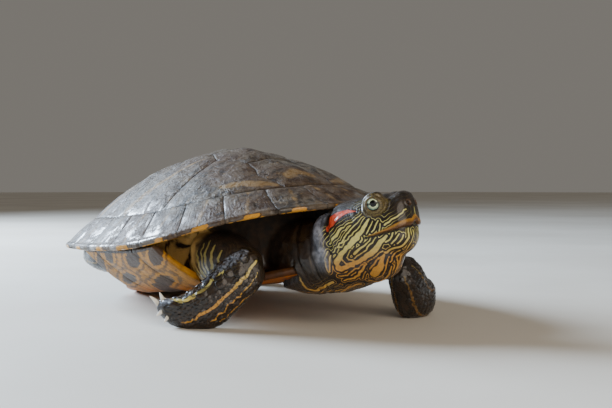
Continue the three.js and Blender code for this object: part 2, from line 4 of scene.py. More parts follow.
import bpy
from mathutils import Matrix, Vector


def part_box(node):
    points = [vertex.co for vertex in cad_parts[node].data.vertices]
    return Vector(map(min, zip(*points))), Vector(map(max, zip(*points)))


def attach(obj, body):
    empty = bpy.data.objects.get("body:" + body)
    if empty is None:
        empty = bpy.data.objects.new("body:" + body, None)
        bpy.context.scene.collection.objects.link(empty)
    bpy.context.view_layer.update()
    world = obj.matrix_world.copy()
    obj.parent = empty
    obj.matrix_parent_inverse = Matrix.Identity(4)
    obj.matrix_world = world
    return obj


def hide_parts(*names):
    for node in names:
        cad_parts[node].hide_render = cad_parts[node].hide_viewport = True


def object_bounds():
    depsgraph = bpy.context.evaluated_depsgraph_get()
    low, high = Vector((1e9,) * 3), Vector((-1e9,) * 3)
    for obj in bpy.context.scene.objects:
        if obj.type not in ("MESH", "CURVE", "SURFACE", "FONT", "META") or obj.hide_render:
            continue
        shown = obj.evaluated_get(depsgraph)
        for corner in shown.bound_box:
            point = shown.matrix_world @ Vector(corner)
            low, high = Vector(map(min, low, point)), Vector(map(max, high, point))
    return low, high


bl_info = {
    "name": "Red-eared slider",
    "version": (1, 0, 0),
    "blender": (4, 5, 0),
    "location": "3D View > Sidebar > Turtle",
    "description": "Builds a life-size red-eared slider turtle round its frame",
    "category": "Object",
}

import bmesh
import bpy
import numpy as np
from bpy.props import FloatProperty, FloatVectorProperty, IntProperty, PointerProperty
from mathutils import Matrix, Vector
from mathutils.bvhtree import BVHTree
from mathutils.kdtree import KDTree

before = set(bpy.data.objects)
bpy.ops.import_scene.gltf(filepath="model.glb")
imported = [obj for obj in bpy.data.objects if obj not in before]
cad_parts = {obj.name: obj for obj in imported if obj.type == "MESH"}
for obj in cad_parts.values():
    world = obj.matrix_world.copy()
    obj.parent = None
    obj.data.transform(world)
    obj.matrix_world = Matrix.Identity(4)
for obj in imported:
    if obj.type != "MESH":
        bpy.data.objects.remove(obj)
CAD_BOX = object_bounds()

MM = 0.001

# ---- sizes, in millimetres, the same as the frame's ------

SHELL_LENGTH, SHELL_WIDTH = 200, 152
DOME_HEIGHT, BELLY_DEPTH = 40.5, 29.5  # above and below the rim
PLATE = 4  # thickness of a plate
RIM_HEIGHT = 39.2  # of the shell's middle, over the floor
NOSE_UP, LEFT_UP = 7, 2  # degrees that the shell is tipped
HEAD_LEFT, HEAD_UP = 20, 13  # degrees that the head is turned
SNOUT = (131, 16, 51)  # forward, left, up
EYE_BACK, EYE_SIDE, EYE_UP, EYE_RADIUS = 13.4, 8.8, 7.6, 4.0
RIM_EDGE = 2.0  # thickness of the rim at its edge
MARGINAL_IN = 0.8  # share of the way out where the rim's plates begin
MARGINALS = 12  # on each side
NAPE_HALF = 6  # half the width of the nuchal plate
ROUNDNESS = 2.3  # power of the rounded outlines; 2 would be an ellipse


# ---- small helpers on arrays -----------------------------

def unit(ways):
    return ways / np.linalg.norm(ways, axis=-1, keepdims=True)


def side_and_over(way):
    """The level direction square to a way, and the one square to both."""
    side = unit(np.cross(way, [0, 0, 1]))
    return side, np.cross(side, way)


def ring(count):
    """Angles all the way round, as a row."""
    return np.linspace(0, 2 * np.pi, count + 1)[None, :-1]


def turn(axis, degrees):
    return np.array(Matrix.Rotation(np.radians(degrees), 3, axis))


def signed_power(x, p):
    return np.sign(x) * np.abs(x) ** p


def step(x, low, high):
    """Smooth step from 0 at low to 1 at high; low may be above high."""
    t = np.clip((x - low) / (high - low), 0, 1)
    return t * t * (3 - 2 * t)


def bump(x, middle, width):
    return np.exp(-(((x - middle) / width) ** 2))


SCATTER = np.array([374761393, 668265263, 2147483647])  # odd factors that mix up a cell's place
SEED_SCATTER, LAST_SCATTER = 974711, 1274126177


def noise(points, size, seed=0):
    """Smooth noise from -1 to 1 on points, with features of that size."""
    q = points / size + 37.3 * (seed + 1)
    cell = np.floor(q).astype(np.int64)
    f = q - cell
    f = f * f * (3 - 2 * f)
    total = np.zeros(len(points))
    for corner in np.ndindex(2, 2, 2):
        h = (cell + np.array(corner)) @ SCATTER + seed * SEED_SCATTER
        h = (h ^ (h >> 13)) * LAST_SCATTER
        value = ((h ^ (h >> 16)) & 0xFFFF) / 32767.5 - 1
        weight = np.prod(np.where(np.array(corner), f, 1 - f), axis=1)
        total += value * weight
    return total


def hermite(w, start, end, start_slope, end_slope):
    """Cubic between two values with those slopes, at shares w of the way."""
    return ((2 * w**3 - 3 * w**2 + 1) * start + (w**3 - 2 * w**2 + w) * start_slope
            + (3 * w**2 - 2 * w**3) * end + (w**3 - w**2) * end_slope)


def spline(values, t):
    """Uniform curve through values, one for each station, at shares t of the way."""
    values = np.asarray(values, float)
    x = np.clip(t, 0, 1) * (len(values) - 1)
    i = np.minimum(x.astype(int), len(values) - 2)
    before, start, end = values[np.maximum(i - 1, 0)], values[i], values[i + 1]
    after = values[np.minimum(i + 2, len(values) - 1)]
    return hermite(x - i, start, end, (end - before) / 2, (after - start) / 2)


def smooth_line(points, t):
    """Centripetal curve through points, at shares t of the way, and its direction."""
    points = np.asarray(points, float)
    ends = np.vstack([2 * points[0] - points[1], points, 2 * points[-1] - points[-2]])
    x = np.clip(t, 0, 1) * (len(points) - 1)
    i = np.minimum(x.astype(int), len(points) - 2)
    w = (x - i)[:, None]
    p = [ends[i + k] for k in range(4)]
    d = [np.maximum(np.linalg.norm(p[k + 1] - p[k], axis=1, keepdims=True), 1e-6) ** 0.5
         for k in range(3)]
    m1 = ((p[1] - p[0]) / d[0] - (p[2] - p[0]) / (d[0] + d[1]) + (p[2] - p[1]) / d[1]) * d[1]
    m2 = ((p[2] - p[1]) / d[1] - (p[3] - p[1]) / (d[1] + d[2]) + (p[3] - p[2]) / d[2]) * d[1]
    way = ((6 * w**2 - 6 * w) * (p[1] - p[2]) + (3 * w**2 - 4 * w + 1) * m1
           + (3 * w**2 - 2 * w) * m2)
    return hermite(w, p[1], p[2], m1, m2), unit(way)


# ---- from the animal's axes to the part's ----------------

SHELL_TURN = turn("X", -NOSE_UP) @ turn("Y", -LEFT_UP)
HEAD_TURN = turn("Z", HEAD_LEFT) @ turn("X", -HEAD_UP)


def body(a, b, c):
    return np.stack(np.broadcast_arrays(np.asarray(b, float), -np.asarray(a, float), c), -1)


HEAD_PLACE = body(*SNOUT)
EYE_AT = np.array([EYE_SIDE, EYE_BACK, EYE_UP])
SHIFT = (np.array(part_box("eye_left")) / MM).mean(axis=0) - (HEAD_TURN @ EYE_AT + HEAD_PLACE)


def from_body(a, b, c):
    return body(a, b, c) + SHIFT


def from_shell(a, b, c):
    return body(a, b, c) @ SHELL_TURN.T + [0, 0, RIM_HEIGHT] + SHIFT


def to_shell(points):
    q = (points - [0, 0, RIM_HEIGHT] - SHIFT) @ SHELL_TURN
    return -q[:, 1], q[:, 0], q[:, 2]


def from_head(back, side, up):
    local = np.stack(np.broadcast_arrays(np.asarray(side, float), back, up), -1)
    return local @ HEAD_TURN.T + HEAD_PLACE + SHIFT


def to_head(points):
    q = (points - HEAD_PLACE - SHIFT) @ HEAD_TURN
    return q[:, 1], q[:, 0], q[:, 2]


# ---- the shell's surfaces --------------------------------

NAPE_LIFT, TAIL_LIFT = 3, 1.5  # how far the rim rises at both ends
DIP, DIP_AT, DIP_LONG = 5.5, 74, 28  # its dip over the bridge: depth, and two angles in degrees
REAR_WIDER = 0.06


def rim_plan(angle):
    """Forward and left of the shell's edge, at an angle round from the nose."""
    c, s = np.cos(angle), np.sin(angle)
    a = SHELL_LENGTH / 2 * signed_power(c, 2 / ROUNDNESS)
    b = SHELL_WIDTH / 2 * signed_power(s, 2 / ROUNDNESS) * (1 - REAR_WIDER * c)
    return a, b


def rim_lift(angle):
    c = np.cos(angle)
    dip = bump(np.degrees(np.arccos(np.clip(c, -1, 1))), DIP_AT, DIP_LONG)
    return NAPE_LIFT * np.maximum(0, c) ** 3 + TAIL_LIFT * np.maximum(0, -c) - DIP * dip


BRIDGE_FRONT, BRIDGE_REAR, BRIDGE_HALF = 49, -34, 67
CROWN = 0.3  # how flat the top of the dome is
FULLNESS, REAR_FULLNESS = 1.3, 0.22  # power of the dome's side, and what the rear adds to it
APEX_FORWARD = 2
KEEL, KEEL_HALF = 1.2, 5  # the low ridge along the middle
UNDER_SLOPE = 8  # rise of the rim's under side from the edge to the middle of the shell
RIM_REACH = 82  # mean way from the middle of the shell to its rim


def dome_share(angle, out):
    """Share of the dome's height, at an angle and a share of the way out to the rim."""
    r = (np.hypot(out, CROWN) - CROWN) / (np.hypot(1, CROWN) - CROWN)
    return 1 - np.maximum(r, 0) ** (FULLNESS + REAR_FULLNESS * np.maximum(0, -np.cos(angle)))


def dome_plan(angle, out):
    a, b = rim_plan(angle)
    return a * out + APEX_FORWARD * (1 - out), b * out


def dome_height(angle, out):
    keel = KEEL * bump(dome_plan(angle, out)[1], 0, KEEL_HALF) * (1 - out**2)
    return rim_lift(angle) * out**3 + DOME_HEIGHT * dome_share(angle, out) + keel


def dome_under(angle, out):
    """Height of the upper shell's inner face, which is lower under the rim's plates."""
    under = dome_height(angle, out) - PLATE
    wedge = np.clip((out - MARGINAL_IN) / 0.04 + 1, 0, 1)
    rim = rim_lift(angle) - RIM_EDGE + (1 - out) * UNDER_SLOPE
    return under + (np.minimum(under, rim) - under) * wedge


def dome_polar(a, b):
    """The angle and the share of the way out of a point of the plan."""
    low, high = np.full(np.shape(a), 1e-4), np.full(np.shape(a), 1.6)
    for _ in range(40):
        out = (low + high) / 2
        along = (a - APEX_FORWARD * (1 - out)) / out / (SHELL_LENGTH / 2)
        c = np.clip(signed_power(along, ROUNDNESS / 2), -1, 1)
        across = b / out / (SHELL_WIDTH / 2 * (1 - REAR_WIDER * c))
        beyond = np.abs(along) ** ROUNDNESS + np.abs(across) ** ROUNDNESS > 1
        low, high = np.where(beyond, out, low), np.where(beyond, high, out)
    angle = np.arctan2(signed_power(across, ROUNDNESS / 2), signed_power(along, ROUNDNESS / 2))
    return angle, out


FLAT_HALF = 34  # half the width of the belly's flat part; the bridge rises from there
FRONT_RISE, REAR_RISE = 3.5, 4.5


def belly_height(a, b):
    """Height of the bottom shell's outer face under the rim's plane."""
    side = np.maximum(0, np.abs(b) - FLAT_HALF) / (BRIDGE_HALF - FLAT_HALF)
    front = np.maximum(0, a - 55) / 33
    rear = np.clip((-30 - a) / 25, 0, 1) * np.maximum(0, np.abs(b) - 16) / 20
    c = signed_power(np.clip(a / (SHELL_LENGTH / 2 + 1), -1, 1), ROUNDNESS / 2)
    to_rim = BELLY_DEPTH - PLATE + rim_lift(np.arccos(np.clip(c, -1, 1)))
    return (-BELLY_DEPTH + to_rim * side**1.6 + FRONT_RISE * front**2
            + REAR_RISE * rear**1.5)


# Half width, middle and half length of the bottom shell's two lobes.
FRONT_LOBE, REAR_LOBE = (46, 28, 62), (39, -26, 64)


def plastron_half(a):
    """Half width of the bottom shell, at a distance forward."""
    front, back = (half * np.sqrt(1 - np.clip(np.abs(a - middle) / long, 0, 1) ** ROUNDNESS)
                   for half, middle, long in (FRONT_LOBE, REAR_LOBE))
    on_bridge = (a <= BRIDGE_FRONT) & (a >= BRIDGE_REAR)
    return np.where(on_bridge, BRIDGE_HALF, np.where(a > 0, front, back))


# ---- meshes ----------------------------------------------

def ball(points):
    """Vertices and faces of a closed surface: rows of points, of which the first and the last
    are each one point."""
    rows, around = points.shape[:2]
    verts = np.vstack([points[0, :1], points[1:-1].reshape(-1, 3), points[-1, :1]])
    start = 1 + around * np.arange(rows - 2)
    k = np.arange(around)
    n = (k + 1) % around
    last = len(verts) - 1
    faces = [[0, start[0] + i, start[0] + j] for i, j in zip(k, n)]
    for s in start[:-1]:
        faces += np.stack([s + k, s + around + k, s + around + n, s + n], 1).tolist()
    faces += [[last, start[-1] + j, start[-1] + i] for i, j in zip(k, n)]
    return verts, faces


def by_vertex(values):
    """Values on rows of points, in the order of ball's vertices."""
    return np.concatenate([values[0, :1], values[1:-1].ravel(), values[-1, :1]])


def joined(parts):
    """One set of vertices and faces from several."""
    verts, faces, base = [], [], 0
    for v, f in parts:
        verts.append(v)
        faces += [[i + base for i in face] for face in f]
        base += len(v)
    return np.vstack(verts), faces


def outward(verts, faces):
    """The same surface with its faces looking outwards, as the volume inside them tells."""
    fan = np.array([[f[0], f[i], f[i + 1]] for f in faces for i in range(1, len(f) - 1)])
    p = (verts - verts.mean(axis=0))[fan]
    inwards = np.einsum("ij,ij->", p[:, 0], np.cross(p[:, 1], p[:, 2])) < 0
    return verts, [f[::-1] for f in faces] if inwards else faces


def read(layer, key, width, kind=np.float32):
    """An array of a mesh layer's values, with a row for each element."""
    flat = np.empty(len(layer) * width, kind)
    layer.foreach_get(key, flat)
    return flat.reshape(-1, width)


def coordinates(mesh):
    return read(mesh.vertices, "co", 3).astype(float)


def normals(mesh):
    return read(mesh.vertex_normals, "vector", 3).astype(float)


def set_coordinates(mesh, points):
    mesh.vertices.foreach_set("co", points.astype(np.float32).ravel())
    mesh.update()


def finish_mesh(mesh, material, values):
    """Gives a mesh its material, smooth faces and the values that the material reads."""
    for key, data in values.items():
        mesh.attributes.new(key, "FLOAT", "POINT").data.foreach_set(
            "value", np.asarray(data, dtype=np.float32))
    mesh.polygons.foreach_set("use_smooth", [True] * len(mesh.polygons))
    mesh.materials.clear()
    mesh.materials.append(material)


def settle(piece, replaced, slot):
    """Tells the frame what a piece rides on and what it stands for; the slot, what the piece is made
    of, is not used.
    """
    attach(piece, "root")
    if replaced:
        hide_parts(*replaced)


def add_piece(name, verts, faces, material, values, replaced=(), slot="skin"):
    """A smooth mesh piece from vertices in millimetres, with its values for the material."""
    verts, faces = outward(verts, faces)
    mesh = bpy.data.meshes.new(name)
    mesh.from_pydata((verts * MM).tolist(), [], faces)
    mesh.validate()
    finish_mesh(mesh, material, values)
    piece = bpy.data.objects.new(name, mesh)
    bpy.context.collection.objects.link(piece)
    settle(piece, replaced, slot)
    return piece


def add_plate(node, points, values, material, slot):
    """A horny plate from rows of points: it stands for the node of the same place."""
    add_piece(f"{node}_plate", *ball(points), material, values, [node], slot)


# ---- the plates of the shell -----------------------------

def along_outline(corners, count):
    """Points spaced along a closed outline, with every corner kept."""
    corners = np.asarray(corners, float)
    lengths = np.linalg.norm(np.roll(corners, -1, axis=0) - corners, axis=1)
    counts = np.maximum(1, np.round(count * lengths / lengths.sum())).astype(int)
    points = [p + (q - p) * k / n
              for p, q, n in zip(corners, np.roll(corners, -1, axis=0), counts) for k in range(n)]
    return np.array(points)


def seam_distance(points, corners):
    """Distance of plan points to the nearest edge of an outline."""
    best = np.full(points.shape[:-1], 1e9)
    for p, q in zip(corners, np.roll(corners, -1, axis=0)):
        way = q - p
        t = np.clip(((points - p) @ way) / max(way @ way, 1e-9), 0, 1)
        best = np.minimum(best, np.linalg.norm(points - p - t[..., None] * way, axis=-1))
    return best


def rim_angles():
    """Angle of every seam between marginal plates, from the nape back."""
    angle = np.linspace(0, np.pi, 1441)
    a, b = rim_plan(angle)
    lengths = np.concatenate([[0], np.cumsum(np.hypot(np.diff(a), np.diff(b)))])
    stops = NAPE_HALF + (lengths[-1] - NAPE_HALF) / MARGINALS * np.arange(MARGINALS + 1)
    return np.interp(stops, lengths, angle)


def plan_point(side, degrees, out):
    a, b = dome_plan(np.radians(degrees) * side, out)
    return float(a), float(b)


VERTEBRAL_SEAMS = (48, 14, -22, -55)
VERTEBRAL_HALF = (12.5, 13, 13, 12)
VERTEBRAL_BULGE = (17, 20, 20.5, 19, 16)
VERTEBRAL_MIDDLE = (63, 31, -4, -39, -67)
COSTAL_ANGLES = (11, 66, 98, 130, 169)  # degrees


def vertebral_corner(i, side):
    if i in (0, 5):
        return plan_point(side, COSTAL_ANGLES[0 if i == 0 else -1], MARGINAL_IN)
    return VERTEBRAL_SEAMS[i - 1], side * VERTEBRAL_HALF[i - 1]


def vertebral_bulge(i, side):
    return VERTEBRAL_MIDDLE[i], side * VERTEBRAL_BULGE[i]


def dome_outlines():
    """Plan outline of each vertebral and costal plate, by its name."""
    plates = {}
    for i in range(5):
        front = [plan_point(1, 0, MARGINAL_IN)] if i == 0 else []
        back = [plan_point(1, 180, MARGINAL_IN)] if i == 4 else []
        plates[f"vertebral_{i + 1}"] = [
            vertebral_corner(i, 1), vertebral_bulge(i, 1), vertebral_corner(i + 1, 1), *back,
            vertebral_corner(i + 1, -1), vertebral_bulge(i, -1), vertebral_corner(i, -1), *front]
    for word, side in (("left", 1), ("right", -1)):
        for i in range(4):
            outer = [plan_point(side, x, MARGINAL_IN)
                     for x in np.linspace(COSTAL_ANGLES[i + 1], COSTAL_ANGLES[i], 9)]
            plates[f"costal_{word}_{i + 1}"] = [
                vertebral_bulge(i, side), vertebral_corner(i + 1, side),
                vertebral_bulge(i + 1, side), *outer]
    return plates


def centre_of(corners):
    p = np.asarray(corners, float)
    q = np.roll(p, -1, axis=0)
    cross = p[:, 0] * q[:, 1] - q[:, 0] * p[:, 1]
    return ((p + q) * cross[:, None]).sum(axis=0) / (3 * cross.sum())


WANDER = 0.55


def wander(a, b, out):
    """Plan points moved a little, so that no seam is ruler straight; still at the rim."""
    flat = np.stack([a, b, 0 * a], -1).reshape(-1, 3)
    fade = step(out, 0.95, 0.78).ravel() * WANDER
    da = (noise(flat, 8, 1) * fade).reshape(a.shape)
    db = (noise(flat, 8, 2) * fade).reshape(a.shape)
    return a + da, b + db


FAR = 9.0  # a distance past which no marking shows
GROWTH_RINGS = (1.6, 2.9, 4.4, 6.3, 8.6, 11.5)  # distance of each yearly ring from the seam
RING_DROP, RING_ROUND = 0.084, 0.55
SEAM_DEPTH, SEAM_ROUND = 0.38, 0.45
SWELL, SWELL_REACH = 0.35, 9  # how a plate rises from its seam
WEAR, FINE_WEAR = 0.34, 0.2
FACE_DROP = 0.6  # the whole face, so that it stays inside the frame's plate


def plate_relief(seam, a, b):
    """Height of a horny plate's face above its plain surface, at a distance from its seam."""
    flat = np.stack([a, b, 0 * a], -1).reshape(-1, 3)
    rings = sum(RING_DROP * step(seam, r - RING_ROUND, r + RING_ROUND) for r in GROWTH_RINGS)
    swell = SWELL * (1 - np.clip(1 - seam / SWELL_REACH, 0, 1) ** 2)
    wear = WEAR * noise(flat, 8, 3) + FINE_WEAR * noise(flat * [0.45, 1, 1], 3.4, 4)
    edge = -SEAM_DEPTH * bump(seam, 0, SEAM_ROUND)
    return edge + rings + swell + wear.reshape(a.shape) * step(seam, 0, 2) - FACE_DROP


TOP_RINGS = np.concatenate([[0], np.linspace(0.05, 0.9, 25), [0.93, 0.955, 0.975, 0.99, 1]])
INNER_RINGS = np.array([1, 0.97, 0.7, 0.35, 0])
PLATE_AROUND = 112


def plate_grid(corners):
    """Plan points of a plate: rings out from its middle over its face, then back inside it."""
    outline = along_outline(corners, PLATE_AROUND)
    middle = centre_of(corners)
    outward_share = np.concatenate([TOP_RINGS, INNER_RINGS])[:, None, None]
    return middle + outward_share * (outline - middle), middle


def plate_values(seam, grid, middle, number):
    """What a plate's material reads: distance from the seam, share of the way out to it, the
    direction from its middle, and a number of its own."""
    out = np.concatenate([TOP_RINGS, INNER_RINGS])[:, None] * np.ones(grid.shape[1])
    rays = grid - middle
    return {
        "seam": by_vertex(seam), "ring": by_vertex(out),
        "ray": by_vertex(np.arctan2(rays[..., 1], rays[..., 0])),
        "plate": np.full(by_vertex(out).shape, number),
    }


def dome_plate(name, corners, number, material):
    """A vertebral or costal plate: its worn face on the dome and its inner face below."""
    grid, middle = plate_grid(corners)
    top = len(TOP_RINGS)
    a, b = grid[..., 0], grid[..., 1]
    angle, out = dome_polar(a, b)
    a, b = wander(a, b, out)
    angle, out = dome_polar(a, b)
    seam = seam_distance(grid, corners)
    height = dome_height(angle, out)
    height[:top] += plate_relief(seam, a, b)[:top]
    height[top:] -= PLATE
    values = plate_values(seam, grid, middle, number)
    values["bar"] = by_vertex(pale_bar(name, np.stack([a, b], -1)))
    values["under"] = by_vertex((np.arange(len(a)) >= top)[:, None] * np.ones(a.shape[1]))
    values["blot"] = np.full(len(values["seam"]), FAR)
    add_plate(name, from_shell(a, b, height), values, material, "carapace")


def line_distance(points, line):
    """Distance to a bent line less its own half width, which its last column gives."""
    best = np.full(len(points), 1e9)
    line = np.asarray(line, float)
    for p, q in zip(line[:-1], line[1:]):
        way = q[:-1] - p[:-1]
        t = np.clip((points - p[:-1]) @ way / max(way @ way, 1e-9), 0, 1)
        gap = np.linalg.norm(points - p[:-1] - t[:, None] * way, axis=1)
        best = np.minimum(best, gap - (p[-1] + t * (q[-1] - p[-1])))
    return best


# The pale bar across each costal plate, in plan on the left side: forward, out, half width.
COSTAL_BARS = (
    ((76, 16, 1.5), (72, 22, 2.6), (66, 29, 2.4), (60, 36, 1.6)),
    ((22, 22, 1.2), (16, 36, 1.8), (10, 48, 2.4), (6, 58, 2.8)),
    ((-16, 22, 1.2), (-22, 36, 1.6), (-25, 48, 2.2), (-28, 57, 2.6)),
    ((-50, 18, 1.0), (-58, 30, 1.4), (-64, 40, 2.0)),
)
NAPE_PATCH = ((68, 0, 3.4), (71, 6, 3))  # the pale patch at the front of the first vertebral


def pale_bar(name, flat):
    """Distance from the plate's pale bar, in millimetres."""
    words = name.split("_")
    points = flat.reshape(-1, 2) * [1, -1 if words[1] == "right" else 1]
    if words[0] == "costal":
        gap = line_distance(points, COSTAL_BARS[int(words[2]) - 1])
    elif name == "vertebral_1":
        gap = line_distance(np.abs(points), NAPE_PATCH)
    else:
        gap = np.abs(np.abs(points[:, 1]) - 1.5) + 2.5
    return gap.reshape(flat.shape[:-1])


MARGINAL_STEPS = 18
PROFILE_TOP, PROFILE_EDGE, PROFILE_UNDER, PROFILE_IN = 15, 7, 15, 6
LIP = 0.018  # share of the way out that the rounded edge takes
PLATE_GAP = 0.0004  # half the gap between two plates of the rim, as an angle
RIM_GROOVE = 0.35


def shares(count):
    return np.linspace(0, 1, count + 1)[:-1]


def capped(rows):
    """Profiles with both end ones closed over their own middles, in three steps."""
    first, last = rows[0].mean(axis=0), rows[-1].mean(axis=0)
    return np.array([*(first + (rows[0] - first) * s for s in (0, 0.4, 0.8)), *rows,
                     *(last + (rows[-1] - last) * s for s in (0.8, 0.4, 0))])


def marginal_plate(name, side, start, end, first, number, material):
    """A plate of the rim: a wedge with a rounded edge, swept along the rim between two seams.
    Its profile runs over the top, round the edge, back underneath and up inside."""
    bend = np.concatenate([[0, 0.004, 0.02, 0.05], np.linspace(0.09, 0.91, MARGINAL_STEPS),
                           [0.95, 0.98, 0.996, 1]])
    angle = (start + PLATE_GAP + (end - start - 2 * PLATE_GAP) * bend)[:, None]
    length = np.hypot(*np.diff(np.array(rim_plan(np.array([start, end]))), axis=1)).item()
    if first:
        length = 2 * NAPE_HALF
    side_gap = np.minimum(bend, 1 - bend)[:, None] * length
    notch = 0.012 * step(np.degrees(abs(start)), 95, 125)
    rim_out = 1 - notch * bump(side_gap, 0, 2.0)
    edge = np.pi * shares(PROFILE_EDGE)
    back = shares(PROFILE_UNDER)
    rise = shares(PROFILE_IN)
    out_top = MARGINAL_IN + (rim_out - LIP - MARGINAL_IN) * shares(PROFILE_TOP)
    out_edge = rim_out - LIP + LIP * np.sin(edge)
    out_low = rim_out - LIP + (MARGINAL_IN + 0.002 - rim_out + LIP) * back
    out_in = np.full((len(angle), PROFILE_IN), MARGINAL_IN + 0.001)

    a, b = dome_plan(angle, out_top)
    a, b = wander(a, b, out_top)
    inner_gap = (out_top - MARGINAL_IN) * RIM_REACH
    relief = plate_relief(np.minimum(side_gap, inner_gap), a, b) * step(out_top, 1.0, 0.93)
    top = dome_height(*dome_polar(a, b)) + relief
    groove = RIM_GROOVE * bump(side_gap, 0, SEAM_ROUND)
    rim_top = dome_height(angle, rim_out - LIP)
    low_edge = rim_lift(angle) - RIM_EDGE
    rim_low = low_edge + LIP * UNDER_SLOPE
    round_edge = (rim_top + rim_low) / 2 + ((rim_top - rim_low) / 2 - groove) * np.cos(edge)
    swell = 0.9 * np.sin(np.pi * np.clip(back * 1.3, 0, 1)) ** 2
    low = low_edge + (1 - out_low) * UNDER_SLOPE + groove + swell
    inner_low = low_edge + (1 - MARGINAL_IN) * UNDER_SLOPE + groove
    inner = inner_low + (top[:, :1] - inner_low) * rise

    def plan(out):
        return np.stack(dome_plan(np.broadcast_to(angle, out.shape), out), -1)

    plan_top = np.stack([a, b], -1)
    plan_in = plan_top[:, :1] + (plan(out_in) - plan_top[:, :1]) * (1 - rise)[:, None]
    flat = np.concatenate([plan_top, plan(out_edge), plan(out_low), plan_in], axis=1)
    height = np.concatenate([top, round_edge, low, inner], axis=1)
    points = from_shell(flat[..., 0], side * flat[..., 1], height)

    # The edge is dark, but for one yellow bit on each plate.
    dark, bit = (np.concatenate([np.zeros(PROFILE_TOP), step(edge, *bounds),
                                 np.ones(PROFILE_UNDER + PROFILE_IN)])
                 for bounds in ((2.2, 2.9), (1.0, 1.6)))
    rng = np.random.default_rng(int(number * 10))
    bit_start, bit_long = rng.uniform((0.25, 0.2), (0.45, 0.45))
    with_bit = (step(bend, bit_start - 0.06, bit_start + 0.06)
                * step(bend, bit_start + bit_long + 0.06, bit_start + bit_long - 0.06))[:, None]
    reach = (1 - np.concatenate([out_top, out_edge, out_low, out_in], axis=1)) * RIM_REACH
    seam = np.minimum(side_gap, np.pad(inner_gap, ((0, 0), (0, reach.shape[1] - PROFILE_TOP)),
                                       constant_values=FAR))
    # A dark blotch of the under side sits astride each seam and reaches the edge there.
    from_seam = np.minimum(np.abs(bend - 0.1), np.abs(bend - 1.1))[:, None] * length
    values = {
        "seam": seam, "ring": 1 - seam / 8, "ray": bend[:, None] * 5 + 0 * seam,
        "plate": 0 * seam + number, "under": dark + (bit - dark) * with_bit,
        "bar": np.abs((bend[:, None] - 0.5) * length + (reach - 8) * 0.25) - 0.9,
        "blot": np.hypot(from_seam / 1.15, (reach - 5) / 1.3) - 4.6,
    }
    values = {key: by_vertex(capped(value)) for key, value in values.items()}
    add_plate(name, capped(points), values, material, "carapace")


PLASTRON_SEAMS = (88, 72, 50, 27, -17, -50, -85)
PLASTRON_NAMES = ("gular", "humeral", "pectoral", "abdominal", "femoral", "anal")
# The dark blotch of each plate on the left half: forward, out, and its two half widths.
PLASTRON_BLOTCHES = ((79, 10, 3.5, 5), (60, 20, 5, 9), (38, 26, 6, 12),
                     (6, 34, 11, 14), (-33, 20, 8, 9), (-64, 14, 9, 7))
# The same on the bridge, where each leans forward as it rises.
BRIDGE_BLOTCHES = ((45, 64, 7.6, 4.4), (20, 64, 8, 4.8), (20, 49, 11, 4.6), (-5, 65.5, 5, 3.6),
                   (-14, 52, 9, 4.6), (-29, 60, 5, 7))
BRIDGE_LEAN = 2.0


def blotch_distance(a, b, blotch, lean=0.0):
    forward, out, along, across = blotch
    ahead = (a - forward - lean * (b - out)) / along
    return (np.hypot(ahead, (b - out) / across) - 1) * min(along, across)


def plastron_plate(i, word, side, number, material):
    """A plate of the bottom shell, with its part of the bridge."""
    front, back = PLASTRON_SEAMS[i], PLASTRON_SEAMS[i + 1]
    stops = np.linspace(front, back, 9)
    for limit in (BRIDGE_FRONT, BRIDGE_REAR):
        if back < limit < front:
            stops = np.concatenate([stops, [limit + 0.8, limit]])
    stops = np.sort(stops)[::-1]
    half = np.maximum(plastron_half(stops), 1.5)
    corners = np.array([(front, 0.04), *zip(stops, half), (back, 0.04)])
    corners[:, 1] *= side
    grid, middle = plate_grid(corners)
    top = len(TOP_RINGS)
    a, b = grid[..., 0], grid[..., 1]
    seam = seam_distance(grid, corners)
    height = belly_height(a, b) - plate_relief(seam, a, b) * 0.7
    angle, out = dome_polar(a, b)
    roof = np.where(out > 0.74, dome_under(angle, out) - 0.35, 99)
    inner = np.minimum(belly_height(a, b) + PLATE, roof)
    height[top:] = np.maximum(inner, height + 0.4)[top:]
    blotch = np.min([blotch_distance(a, side * b, PLASTRON_BLOTCHES[i]),
                     *(blotch_distance(a, side * b, each, BRIDGE_LEAN)
                       for each in BRIDGE_BLOTCHES)], axis=0)
    free_edge = (np.abs(b) > 47) & ((a > BRIDGE_FRONT - 1) | (a < BRIDGE_REAR + 1))
    values = plate_values(np.where(free_edge, FAR, seam), grid, middle, number)
    values["blot"] = by_vertex(blotch)
    values["bridge"] = by_vertex(step(np.abs(b), FLAT_HALF, 52))
    points = from_shell(a, b, height)
    points[..., 2] = np.maximum(points[..., 2], 0)
    add_plate(f"{PLASTRON_NAMES[i]}_{word}", points, values, material, "plastron")


# ---- flesh: where each length of it runs -----------------

